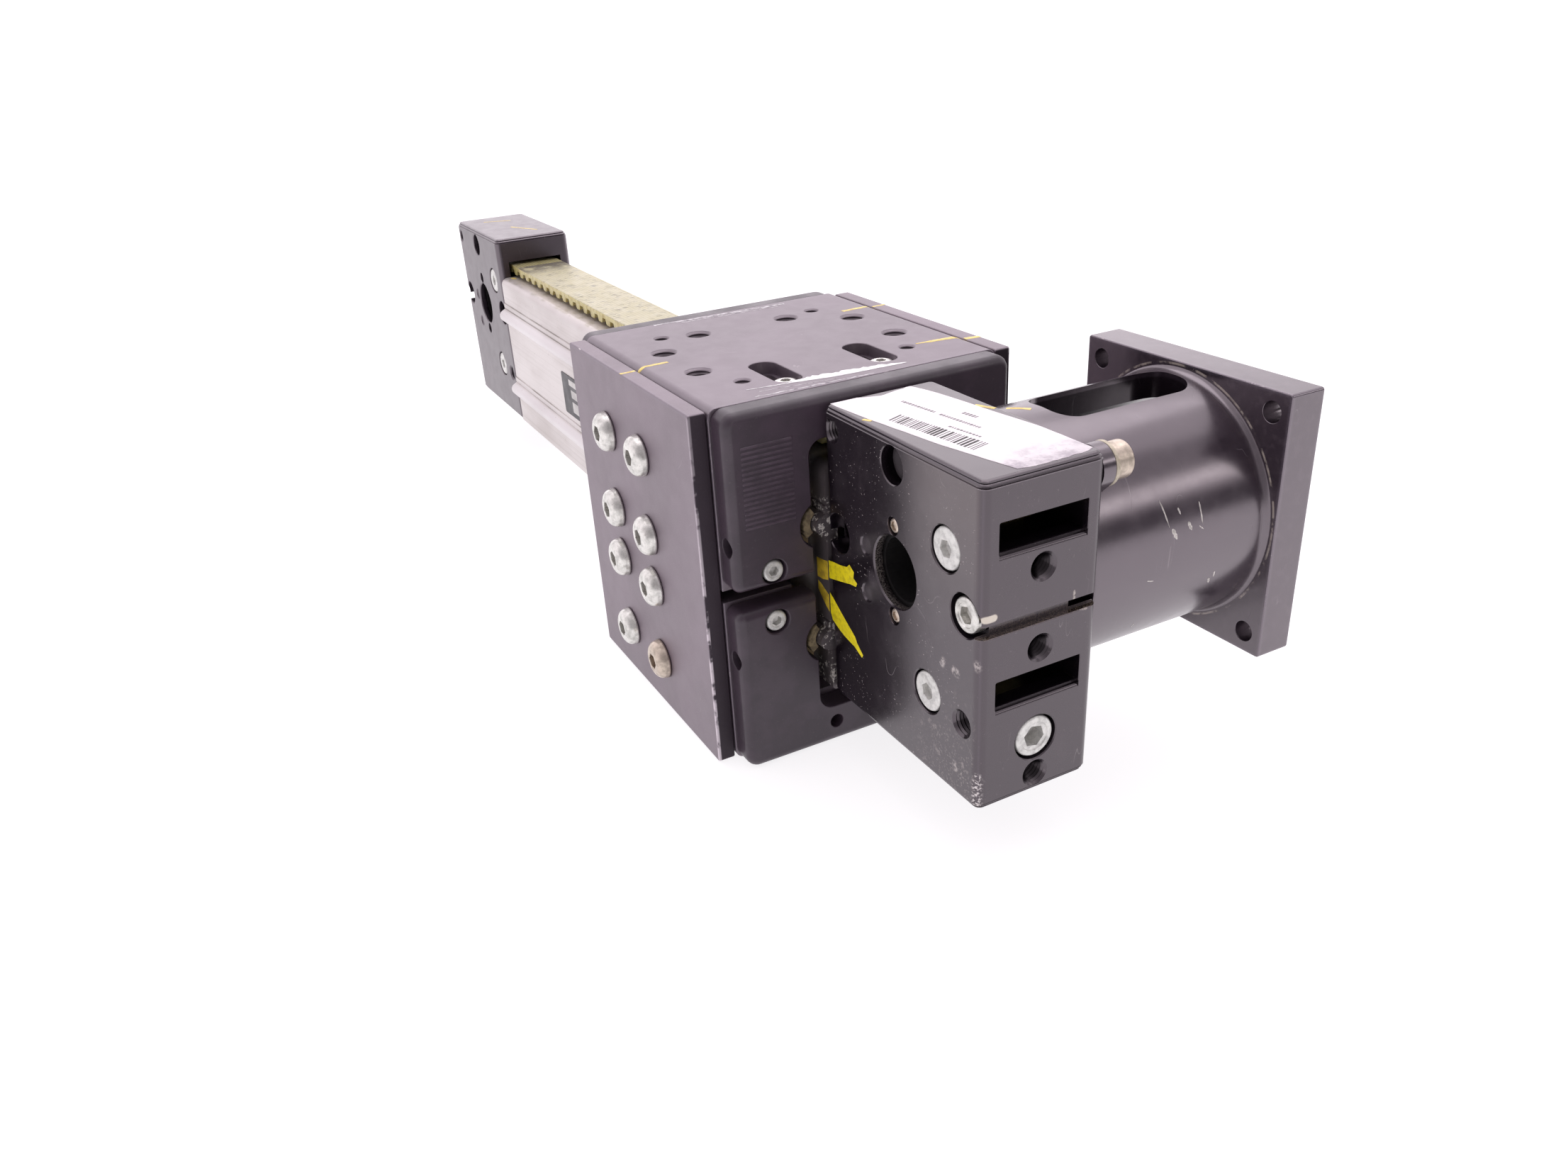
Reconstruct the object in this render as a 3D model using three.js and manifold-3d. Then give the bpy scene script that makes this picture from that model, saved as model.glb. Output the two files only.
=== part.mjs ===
// Belt-driven linear actuator: a slotted beam with two guide ribs on each side, a pulley housing at
// each end, a toothed belt running over the beam and back inside it, a carriage that wraps the beam,
// and a tubular motor adapter on the drive housing.
// Millimetres, +Z up. X runs along the beam towards the drive end, Y points to the motor side.
// Sizes below are in a working frame: x = 0 at the inner face of the drive housing, y = 0 at the left
// side of beam and housings, z = 0 at the underside of beam and housings. The whole group is then
// shifted so that the origin is the centre of the footprint, at the height of the carriage underside.
import * as THREE from "three";
import { mergeVertices } from "three/addons/utils/BufferGeometryUtils.js";
import Module from "manifold-3d";

const wasm = await Module();
wasm.setup();

// ---------------------------------------------------------------- driving dimensions
const GAP = 0.3; // clearance between neighbouring pieces
const HOUSING = { l: 80, w: 40, h: 100 }; // pulley housings
const BEAM = { l: 350.2, w: 40, h: 80 }; // extruded beam
const IDLER_X = -BEAM.l - HOUSING.l; // inner frame of the idler housing
const BORE = { x: 38.8, z: 59.4 }; // pulley axis inside a housing
const PITCH_R = 25.46; // 16 teeth of 10 mm pitch
const TOOTH_PITCH = 10;
const BELT = { y0: 7.6, y1: 32.4, back: 1.2, root: 1.0, tip: 3.5 };
const CHAMBER_R = 28.2;
const RIB_Z = [60.2, 19.0];
const RIB_R = 3.8;
const CART = { x0: -117, x1: -11, yc: 19.9, halfY: 52.6, z0: -22.1, z1: 101.7 };
const SPLIT = { body: [37.5, 41.5], cap: [36.4, 43.2] }; // gap between upper and lower carriage halves
const PLATE = { t: 6, inner: 52.9, x0: -116.7, x1: -11.5, z0: -21.4, z1: 101.0 };
const PLATE_SCREWS = [-84.4, -54.5].flatMap((x) => [76.1, 47.3, 27.7, -1.3].map((z) => [x, z]));
const CAP = { t: 8.7, front: -2.0, halfY: 52.0 };
const CAP_SCREW = { dy: 38.1, z: [48.2, 30.6] };
const ADAPTER = { x: 38.5, z: 59.5, r: 39.2, bore: 31, y0: 40.3, flangeY: 106, y1: 118.8, half: 42.4 };
const ADAPTER_HOLES = 35.7;
const SHIFT = [174.65, -37.65, 22.1];

// ---------------------------------------------------------------- solids and booleans
function solid(geometry) {
  const g = geometry.index ? geometry.toNonIndexed() : geometry.clone();
  const bare = new THREE.BufferGeometry().setAttribute("position", g.getAttribute("position"));
  const m = mergeVertices(bare, 1e-4);
  const idx = m.index.array;
  const tri = [];
  for (let i = 0; i < idx.length; i += 3) {
    const [a, b, c] = [idx[i], idx[i + 1], idx[i + 2]];
    if (a !== b && b !== c && a !== c) tri.push(a, b, c);
  }
  const make = (t) =>
    new wasm.Manifold(
      new wasm.Mesh({ numProp: 3, vertProperties: Float32Array.from(m.attributes.position.array), triVerts: Uint32Array.from(t) }),
    );
  const made = make(tri);
  if (made.volume() > 0) return made;
  for (let i = 0; i < tri.length; i += 3) [tri[i + 1], tri[i + 2]] = [tri[i + 2], tri[i + 1]];
  return make(tri);
}
const asSolid = (s) => (s.isBufferGeometry ? solid(s) : s);
const join = (...parts) => parts.map(asSolid).reduce((a, b) => a.add(b));
const cut = (from, ...tools) => tools.flat().map(asSolid).reduce((a, b) => a.subtract(b), asSolid(from));
function toGeometry(s) {
  const m = s.getMesh();
  const v = new Float32Array(m.numVert * 3);
  for (let i = 0; i < m.numVert; i++) v.set(m.vertProperties.subarray(i * m.numProp, i * m.numProp + 3), i * 3);
  const g = new THREE.BufferGeometry().setAttribute("position", new THREE.BufferAttribute(v, 3));
  g.setIndex(new THREE.BufferAttribute(m.triVerts, 1));
  g.computeVertexNormals();
  return g;
}

// ---------------------------------------------------------------- primitives
const box = (x0, x1, y0, y1, z0, z1) =>
  new THREE.BoxGeometry(x1 - x0, y1 - y0, z1 - z0).translate((x0 + x1) / 2, (y0 + y1) / 2, (z0 + z1) / 2);
// cylinders along each axis: from a to b on that axis
const cylY = (x, z, a, b, r, n = 24, r2 = r) =>
  new THREE.CylinderGeometry(r2, r, b - a, n).translate(x, (a + b) / 2, z);
const cylX = (y, z, a, b, r, n = 24, r2 = r) =>
  new THREE.CylinderGeometry(r2, r, b - a, n).rotateZ(-Math.PI / 2).translate((a + b) / 2, y, z);
const cylZ = (x, y, a, b, r, n = 24, r2 = r) =>
  new THREE.CylinderGeometry(r2, r, b - a, n).rotateX(Math.PI / 2).translate(x, y, (a + b) / 2);
const shapeOf = (pts, holes = []) => {
  const s = new THREE.Shape(pts.map(([a, b]) => new THREE.Vector2(a, b)));
  for (const h of holes) s.holes.push(new THREE.Path(h.map(([a, b]) => new THREE.Vector2(a, b))));
  return s;
};
const extrude = (pts, depth, holes, extra = {}) =>
  new THREE.ExtrudeGeometry(shapeOf(pts, holes), { depth, bevelEnabled: false, steps: 1, ...extra });
// outlines in (x, z) swept along Y, in (y, z) swept along X, in (x, y) swept along Z
const sweepY = (pts, y0, y1, holes) => extrude(pts, y1 - y0, holes).rotateX(Math.PI / 2).translate(0, y1, 0);
const YZX = new THREE.Matrix4().makeBasis(
  new THREE.Vector3(0, 1, 0),
  new THREE.Vector3(0, 0, 1),
  new THREE.Vector3(1, 0, 0),
);
const sweepX = (pts, x0, x1, holes) => extrude(pts, x1 - x0, holes).applyMatrix4(YZX).translate(x0, 0, 0);
const sweepZ = (pts, z0, z1, holes) => extrude(pts, z1 - z0, holes).translate(0, 0, z0);
const arc = (cx, cy, r, a0, a1, n) =>
  Array.from({ length: n + 1 }, (_, i) => {
    const t = ((a0 + ((a1 - a0) * i) / n) * Math.PI) / 180;
    return [cx + r * Math.cos(t), cy + r * Math.sin(t)];
  });
// rectangle with its own radius at each corner: [low-low, high-low, high-high, low-high]
function rounded(a0, a1, b0, b1, radii, n = 4) {
  const [r0, r1, r2, r3] = Array.isArray(radii) ? radii : [radii, radii, radii, radii];
  const corner = (ca, cb, r, s, sa, sb) => (r > 0 ? arc(ca + sa * r, cb + sb * r, r, s, s + 90, n) : [[ca, cb]]);
  return [
    ...corner(a0, b0, r0, 180, 1, 1),
    ...corner(a1, b0, r1, 270, -1, 1),
    ...corner(a1, b1, r2, 0, -1, -1),
    ...corner(a0, b1, r3, 90, 1, -1),
  ];
}
// block with rounded vertical edges and chamfered top and bottom rims
function block(x0, x1, y0, y1, z0, z1, r, c, n = 3) {
  const g = extrude(rounded(x0 + c, x1 - c, y0 + c, y1 - c, Math.max(r - c, 0.4), n), z1 - z0 - 2 * c, [], {
    bevelEnabled: true,
    bevelThickness: c,
    bevelSize: c,
    bevelSegments: 1,
  });
  return g.translate(0, 0, z0 + c);
}

// ---------------------------------------------------------------- fasteners, built along +Y with the head top at 0
const UP = new THREE.Vector3(0, 1, 0);
const lathe = (profile, n) => new THREE.LatheGeometry(profile.map(([r, y]) => new THREE.Vector2(r, y)), n);
function place(geometry, [x, y, z], dir) {
  const q = new THREE.Quaternion().setFromUnitVectors(UP, new THREE.Vector3(...dir));
  return geometry.applyQuaternion(q).translate(x, y, z);
}
const hexSocket = (af, depth) => new THREE.CylinderGeometry(af / Math.sqrt(3), af / Math.sqrt(3), depth + 1, 6).translate(0, 0.5 - depth / 2, 0);
function capScrew(headR, headH, shankR, shankL, af, n = 14) {
  const c = Math.min(0.6, headH / 5);
  return toGeometry(
    cut(
      lathe([[0, -headH - shankL], [shankR, -headH - shankL], [shankR, -headH], [headR, -headH], [headR, -c], [headR - c, 0], [0, 0]], n),
      hexSocket(af, headH * 0.55),
    ),
  );
}
function buttonScrew(headR, headH, shankR, shankL, af, n = 12) {
  return toGeometry(
    cut(
      lathe(
        [
          [0, -headH - shankL], [shankR, -headH - shankL], [shankR, -headH], [headR, -headH], [headR * 0.97, -headH * 0.7],
          [headR * 0.76, -headH * 0.22], [headR * 0.46, 0], [0, 0],
        ],
        n,
      ),
      hexSocket(af, headH * 0.62),
    ),
  );
}

// ---------------------------------------------------------------- materials
const mat = (color, roughness, metalness) => new THREE.MeshStandardMaterial({ color, roughness, metalness });
const blackAnodised = () => mat(0x26222a, 0.45, 0.5);
const clearAnodised = () => mat(0xc9c3bd, 0.38, 0.75);
const blackPlastic = () => mat(0x1d1a1e, 0.65, 0.0);
const zinc = () => mat(0xc8c8c6, 0.3, 1.0);
const steel = () => mat(0x9b9a98, 0.3, 1.0);
const beltPU = () => mat(0xd8d39a, 0.45, 0.0);
const bearingPlastic = () => mat(0xcfc3a2, 0.6, 0.0);

const group = new THREE.Group();
group.name = "belt_linear_actuator";
group.position.set(...SHIFT);
function add(name, geometry, material) {
  const g = geometry.isBufferGeometry ? geometry : toGeometry(geometry);
  const m = new THREE.Mesh(g, material);
  m.name = name;
  group.add(m);
  return m;
}

// ---------------------------------------------------------------- beam
{
  const [zu, zl] = RIB_Z;
  const side = (s) => {
    // one side from the bottom up (s = 1 right side, s = -1 left side); y measured outwards
    const pts = [];
    for (const zr of [zl, zu]) {
      for (const [a, b] of arc(0, zr, RIB_R, -90, 90, 8)) pts.push([a, b]);
      pts.push([0.5, zr + RIB_R + 0.02], [0.5, zr + RIB_R + 2.8], [0, zr + RIB_R + 2.8]);
    }
    return s > 0 ? pts.map(([a, b]) => [BEAM.w + a, b]) : pts.map(([a, b]) => [-a, b]).reverse();
  };
  const topR = 3.5;
  const outline = [
    [0.8, 0], [BEAM.w - 0.8, 0], [BEAM.w, 0.8],
    ...side(1),
    ...arc(BEAM.w - topR, BEAM.h - topR, topR, 0, 90, 4),
    ...arc(topR, BEAM.h - topR, topR, 90, 180, 4),
    ...side(-1),
    [0, 0.8],
  ];
  const hollow = (y0, y1, z0, z1) => rounded(y0, y1, z0, z1, 1.5, 1).reverse();
  const x0 = -BEAM.l + GAP, x1 = -GAP;
  let beam = solid(sweepX(outline, x0, x1, [hollow(4, 36, 28, 44), hollow(4, 36, 48, 75.5), hollow(4, 11, 4, 24), hollow(29, 36, 4, 24)]));
  beam = cut(beam, cylX(20, 18.6, -18, 5, 4.3, 16), cylX(20, 18.6, x0 - 5, x0 + 18, 4.3, 16));
  add("beam", beam, clearAnodised());
}

// ---------------------------------------------------------------- pulley housings (the two are identical)
function housing(outer) {
  const { l, w, h } = HOUSING;
  const lip = (x0, x1, zTop) =>
    // sloped lower lip of a belt slot, at the outer end face
    sweepY([[x0, zTop - 4.4], [x0 + 1, zTop - 4.4], [x0 + 1, zTop + 0.5], [x1, zTop + 0.5], [x1, zTop]].reverse(), 5.6, 34.6);
  const tools = [
    cylY(BORE.x, BORE.z, 6.6, w - 6.6, CHAMBER_R, 32), // pulley chamber
    cylY(BORE.x, BORE.z, 3.0, w - 3.0, 16.3, 24), // bearing seats
    cylY(BORE.x, BORE.z, -1, w + 1, 11.1, 28), // shaft opening
    box(-1, BORE.x, 5.6, 34.6, 77.1, 87.9), // belt slots, inner end
    box(-1, BORE.x, 5.6, 34.6, 30.4, 40.9),
    box(BORE.x, l + 1, 5.6, 34.6, 77.4, 87.9), // belt slots, outer end
    box(BORE.x, l + 1, 5.6, 34.6, 30.6, 40.9),
    // four tapped corner holes of the motor side
    cylY(5.4, 92.8, -1, 22, 3.3, 10),
    cylY(72.2, 25.9, -1, 22, 3.9, 12),
    cylY(72.2, 92.8, 22, w + 1, 3.3, 10),
    cylY(5.4, 25.9, 22, w + 1, 3.3, 10),
    cylY(72.2, 25.9, 26, w + 1, 3.3, 10),
    cylY(5.4, 92.8, 26, w + 1, 3.3, 10),
    cylY(38.1, 92.0, -1, 5.8, 5.6, 16), // grease opening
    // recesses of the small bearing screws
    cylY(38.3, 73.7, -1, 1.8, 3.2, 10), cylY(38.3, 73.7, 1, 2.6, 1.8, 8),
    cylY(38.3, 44.9, -1, 1.8, 3.2, 10), cylY(38.3, 44.9, 1, 2.6, 1.8, 8),
    cylY(23.2, 62.0, -1, 0.7, 3.0, 10), cylY(23.4, 46.4, -1, 0.7, 3.0, 10),
    // side screws
    cylY(63.9, 76.3, -1, 3.7, 7.2, 16), cylY(63.9, 76.3, 3, 6.0, 4.3, 12),
    cylY(55.1, 27.6, -1, 3.7, 7.2, 16), cylY(55.1, 27.6, 3, 18, 4.3, 12),
    // cross holes near both end faces, counterbored from both sides
    ...[7.2, 72.8].flatMap((x) => [cylY(x, 60.1, -1, w + 1, 4.3, 12), cylY(x, 60.1, -1, 4.8, 6.4, 18), cylY(x, 60.1, 31.5, w + 1, 6.4, 18)]),
    box(l - 2.6, l + 1, -1, w + 1, 55.2, 59.0), // grooves in both end faces
    box(-1, 2.6, -1, w + 1, 55.2, 59.0),
    // end face: tapped holes and the counterbored beam bolt
  ];
  const face = (s) => {
    // s = 1: outer face at x = l, s = -1: outer face at x = 0
    const X = (a) => (s > 0 ? l - a : a);
    const c = (y, z, d, r, n) => (s > 0 ? cylX(y, z, l - d, l + 1, r, n) : cylX(y, z, -1, d, r, n));
    const far = s > 0 ? cylX(20, 18.6, -1, l, 4.4, 12) : cylX(20, 18.6, 0, l + 1, 4.4, 12);
    const lipTool = (zTop) =>
      sweepY(
        s > 0
          ? [[l + 1, zTop - 4.4], [l + 1, zTop + 0.4], [X(4.2), zTop + 0.4], [X(4.2), zTop], [l, zTop - 4.4]]
          : [[-1, zTop - 4.4], [0, zTop - 4.4], [4.2, zTop], [4.2, zTop + 0.4], [-1, zTop + 0.4]],
        5.6,
        34.6,
      );
    return [
      c(20.3, 72.0, 9, 3.9, 12),
      c(20.3, 47.5, 9, 3.9, 12),
      c(20.3, 6.4, 14, 3.9, 12),
      c(20, 18.6, 9, 7.6, 18),
      far,
      lipTool(77.4),
      lipTool(30.6),
    ];
  };
  let s = solid(block(0, l, 0, w, 0, h, 3.0, 1.4, 2));
  return cut(s, tools, face(outer));
}
const moved = (s, dx) => solid(toGeometry(s).translate(dx, 0, 0));
add("drive_housing", housing(1), blackAnodised());
add("idler_housing", moved(housing(-1), IDLER_X), blackAnodised());

// ---------------------------------------------------------------- pulleys: hollow, 16 teeth, a journal at each side
function pulley(cx) {
  const outerR = 24.2, rootR = 21.8, n = 16;
  const pts = [];
  for (let i = 0; i < n; i++) {
    const at = (deg, r) => {
      const t = ((i * 360) / n + deg) * (Math.PI / 180);
      return [cx + r * Math.cos(t), BORE.z + r * Math.sin(t)];
    };
    pts.push(at(-6.2, outerR), at(0, outerR), at(6.2, outerR), at(9.0, rootR), at(13.5, rootR));
  }
  return cut(
    join(sweepY(pts, 7.0, HOUSING.w - 7.0), cylY(cx, BORE.z, 3.4, HOUSING.w - 3.4, 12.2, 24)),
    cylY(cx, BORE.z, 0, HOUSING.w, 10, 24),
    box(cx - 1.5, cx + 1.5, 0, HOUSING.w, BORE.z, BORE.z + 11.2),
  );
}
const bearing = (cx, y0, y1) =>
  sweepY(arc(cx, BORE.z, 16.0, 0, 360, 24).slice(0, -1), y0, y1, [arc(cx, BORE.z, 12.5, 0, 360, 24).slice(0, -1).reverse()]);
for (const [name, dx] of [["drive", 0], ["idler", IDLER_X]]) {
  add(name + "_pulley", pulley(BORE.x + dx), clearAnodised());
  add(name + "_bearing_left", bearing(BORE.x + dx, 3.3, 6.5), steel());
  add(name + "_bearing_right", bearing(BORE.x + dx, HOUSING.w - 6.5, HOUSING.w - 3.3), steel());
}

// ---------------------------------------------------------------- toothed belt: over the beam and back inside it
{
  const xd = BORE.x, xi = BORE.x + IDLER_X;
  const outerR = PITCH_R + BELT.back, innerR = PITCH_R - BELT.root, drop = BELT.tip - BELT.root;
  const outer = [...arc(xd, BORE.z, outerR, -90, 90, 14), ...arc(xi, BORE.z, outerR, 90, 270, 14)];
  const teeth = (from, to, z, inward) => {
    // teeth of a straight run, in running order, pointing at the other run
    const out = [];
    const dir = Math.sign(to - from);
    const count = Math.floor(Math.abs(to - from) / TOOTH_PITCH) - 2;
    const start = from + (dir * (Math.abs(to - from) - count * TOOTH_PITCH)) / 2;
    for (let i = 0; i < count; i++) {
      const c = start + dir * TOOTH_PITCH * (i + 0.5);
      out.push([c - dir * 3.3, z], [c - dir * 2.1, z + inward * drop], [c + dir * 2.1, z + inward * drop], [c + dir * 3.3, z]);
    }
    return out;
  };
  const inner = [
    ...arc(xd, BORE.z, innerR, -90, 90, 14),
    ...teeth(xd, xi, BORE.z + innerR, -1),
    ...arc(xi, BORE.z, innerR, 90, 270, 14),
    ...teeth(xi, xd, BORE.z - innerR, 1),
  ].reverse();
  add("drive_belt", sweepY(outer, BELT.y0, BELT.y1, [inner]), beltPU());
}

// ---------------------------------------------------------------- housing fasteners
const LEFT = [0, -1, 0], RIGHT = [0, 1, 0], FRONT = [1, 0, 0], REAR = [-1, 0, 0], TOP = [0, 0, 1];
for (const [name, dx] of [["drive", 0], ["idler", IDLER_X]]) {
  add(name + "_side_screw_upper", place(capScrew(6.7, 3.2, 3.9, 2.2, 5), [63.9 + dx, 0.2, 76.3], LEFT), zinc());
  add(name + "_side_screw_lower", place(capScrew(6.7, 3.2, 3.9, 14, 5), [55.1 + dx, 0.2, 27.6], LEFT), zinc());
}
add("drive_cross_screw", place(capScrew(5.5, 4.1, 3.9, 26, 5), [72.8, 0.4, 60.1], LEFT), zinc());
add("drive_end_bolt", place(capScrew(6.9, 8.2, 4.0, 84, 6), [HOUSING.l - 0.4, 20, 18.6], FRONT), zinc());
add("idler_end_bolt", place(capScrew(6.9, 8.2, 4.0, 84, 6), [IDLER_X + 0.4, 20, 18.6], REAR), zinc());
add("drive_bearing_screw_upper", place(capScrew(2.8, 1.3, 1.4, 0.8, 2.4, 10), [38.3, 0.25, 73.7], LEFT), zinc());
add("drive_bearing_screw_lower", place(capScrew(2.8, 1.3, 1.4, 0.8, 2.4, 10), [38.3, 0.25, 44.9], LEFT), zinc());

// ---------------------------------------------------------------- motor adapter
{
  const { x, z, r, bore, y0, flangeY, y1, half } = ADAPTER;
  const ear = (ex, ez) => {
    // clamping ear: a round pad tied to the tube
    const dx = ex - x, dz = ez - z, d = Math.hypot(dx, dz), ux = dx / d, uz = dz / d, k = 6.4;
    const a = (Math.atan2(dz, dx) * 180) / Math.PI;
    const tip = arc(ex, ez, k, a - 90, a + 90, 8);
    return sweepY([...tip, [x + ux * 20 - uz * k, z + uz * 20 + ux * k], [x + ux * 20 + uz * k, z + uz * 20 - ux * k]], y0, y0 + 4.2);
  };
  const flange = sweepY(rounded(x - half, x + half, z - half, z + half, 1.2, 2), flangeY, y1);
  const body = join(
    cylY(x, z, y0, flangeY + 1, r, 48),
    flange,
    cylY(x, z, flangeY - 3.2, flangeY + 0.5, r, 48, r + 2.6), // cone where the tube runs into the flange
    ear(72.2, 92.8),
    ear(5.4, 25.9),
  );
  const holes = [-1, 1].flatMap((i) => [-1, 1].map((k) => cylY(x + i * ADAPTER_HOLES, z + k * ADAPTER_HOLES, flangeY - 4, y1 + 1, 3.2, 10)));
  add(
    "motor_adapter",
    cut(
      body,
      cylY(x, z, y0 + 5, y1 + 1, bore, 32),
      cylY(x, z, y1 - 2.2, y1 + 1, 36.6, 36), // pilot recess for the motor
      cylY(x, z, y0 - 1, y0 + 6, 15, 32),
      box(x - 10.6, x + 10.6, 51.5, 102.6, z + 5, z + r + 6), // coupling window
      holes,
      cylY(72.2, 92.8, y0 - 1, y0 + 6, 3.4, 14),
      cylY(5.4, 25.9, y0 - 1, y0 + 6, 3.4, 14),
      box(-5, 0.2, y0 - 1, y0 + 5, z - 60, z + 12), // relief beside the ribs of the beam
    ),
    blackAnodised(),
  );
  for (const [name, ex, ez] of [["upper", 72.2, 92.8], ["lower", 5.4, 25.9]]) {
    const base = y0 + 4.2 + 0.1;
    add("adapter_washer_" + name, sweepY(arc(ex, ez, 6.4, 0, 360, 24).slice(0, -1), base, base + 1.5, [arc(ex, ez, 3.5, 0, 360, 16).slice(0, -1).reverse()]), steel());
    add("adapter_screw_" + name, place(capScrew(5.4, 6.0, 3.0, 16, 5), [ex, base + 1.6 + 6.0, ez], RIGHT), zinc());
  }
}

// ---------------------------------------------------------------- carriage halves
{
  const { x0, x1, yc, halfY, z0, z1 } = CART;
  const yl = yc - halfY, yr = yc + halfY;
  const plateHoles = (zs) =>
    PLATE_SCREWS.filter(([, z]) => zs(z)).flatMap(([x, z]) => [cylY(x, z, yl - 1, yl + 16, 4.3, 10), cylY(x, z, yr - 16, yr + 1, 4.3, 10)]);
  const slotEnds = (y, x0s, x1s, r, a, b) =>
    sweepZ([...arc(x1s - r, y, r, -90, 90, 6), ...arc(x0s + r, y, r, 90, 270, 6)], a, b);
  const capHoles = (z, x) => [-1, 1].map((s) => cylX(yc + s * CAP_SCREW.dy, z, x > -60 ? x1 - 12 : x0 - 1, x > -60 ? x1 + 1 : x0 + 12, 2.4, 12));
  const small = [[-96.6, -11.0], [-96.6, 50.8], [-31.0, -11.0], [-31.0, 50.8]];
  const large = [[-92.9, 2.0], [-92.9, 37.8], [-77.9, -17.9], [-77.9, 57.7], [-49.4, -17.9], [-49.4, 57.7]];
  const upper = cut(
    sweepX(rounded(yl, yr, SPLIT.body[1], z1, [0, 0, 3.2, 3.2], 3), x0, x1),
    box(x0 - 1, x1 + 1, -8, 48, SPLIT.body[1] - 1, 88.6), // beam and belt passage
    box(x0 - 1, x1 + 1, -12, -7, 49.4, 71.0), // pockets of the slide bearings
    box(x0 - 1, x1 + 1, 47, 52, 49.4, 71.0),
    box(-62, -16, -3, 43, 87, 96.2), // pocket of the belt clamp
    ...[2.0, 37.6].flatMap((y) => [slotEnds(y, -46.6, -20.6, 4.8, 97.6, z1 + 1), slotEnds(y, -45.0, -22.0, 3.3, 90, 98)]),
    small.map(([x, y]) => cylZ(x, y, z1 - 11, z1 + 1, 2.7, 12)),
    large.map(([x, y]) => cylZ(x, y, z1 - 12, z1 + 1, 4.2, 16)),
    plateHoles((z) => z > 40),
    capHoles(CAP_SCREW.z[0], 0),
  );
  add("cart_upper_half", upper, blackAnodised());
  const lower = cut(
    sweepX(rounded(yl, yr, z0, SPLIT.body[0], [3.2, 3.2, 0, 0], 3), x0, x1),
    box(x0 - 1, x1 + 1, -8, 48, -5.5, SPLIT.body[0] + 1),
    box(x0 - 1, x1 + 1, -12, -7, 8.2, 29.8),
    box(x0 - 1, x1 + 1, 47, 52, 8.2, 29.8),
    plateHoles((z) => z < 40),
    capHoles(CAP_SCREW.z[1], 0),
  );
  add("cart_lower_half", lower, blackAnodised());

  // slide bearings: strips with a round groove over each guide rib
  const strip = (zr, s) => {
    const pts = [[11.7, -10.5], [11.7, 10.5], [0.9, 10.5], [0.9, 4.3], ...arc(0, 0, RIB_R + 0.35, 78, -78, 8), [0.9, -4.3], [0.9, -10.5]];
    const world = pts.map(([a, b]) => [s < 0 ? -a : BEAM.w + a, zr + b]);
    return sweepX(world, x0 + 0.4, x1 - 0.4);
  };
  for (const [name, zr] of [["upper", RIB_Z[0]], ["lower", RIB_Z[1]]])
    for (const [side, s] of [["left", -1], ["right", 1]]) add(`slide_bearing_${name}_${side}`, strip(zr, s), bearingPlastic());

  // belt clamp: a block over the belt with a lip on each side of it
  const clamp = cut(
    sweepX([[-2.6, 86.6], [4.4, 86.6], [4.4, 81.8], [7.1, 81.8], [7.1, 86.6], [32.9, 86.6], [32.9, 81.8], [35.6, 81.8], [35.6, 86.6], [42.6, 86.6], [42.6, 95.8], [-2.6, 95.8]], -60, -17),
    cylZ(-26.4, 2.0, 88, 97, 2.9, 12),
    cylZ(-26.4, 37.6, 88, 97, 2.9, 12),
  );
  add("belt_clamp", clamp, steel());
  add("belt_clamp_screw_left", place(buttonScrew(4.5, 2.6, 2.5, 8.0, 3, 12), [-26.4, 2.0, 100.6], TOP), zinc());
  add("belt_clamp_screw_right", place(buttonScrew(4.5, 2.6, 2.5, 8.0, 3, 12), [-26.4, 37.6, 100.6], TOP), zinc());
}

// ---------------------------------------------------------------- side plates and their screws
for (const [side, s] of [["left", -1], ["right", 1]]) {
  const yi = CART.yc + s * PLATE.inner, yo = CART.yc + s * (PLATE.inner + PLATE.t);
  const [a, b] = [Math.min(yi, yo), Math.max(yi, yo)];
  add(
    "side_plate_" + side,
    cut(box(PLATE.x0, PLATE.x1, a, b, PLATE.z0, PLATE.z1), PLATE_SCREWS.map(([x, z]) => cylY(x, z, a - 1, b + 1, 4.4, 10))),
    blackAnodised(),
  );
  PLATE_SCREWS.forEach(([x, z], i) => {
    add(`plate_screw_${side}_${i + 1}`, place(buttonScrew(7.2, 4.4, 3.95, 19, 5), [x, yo + s * 4.5, z], [0, s, 0]), zinc());
  });
}

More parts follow.
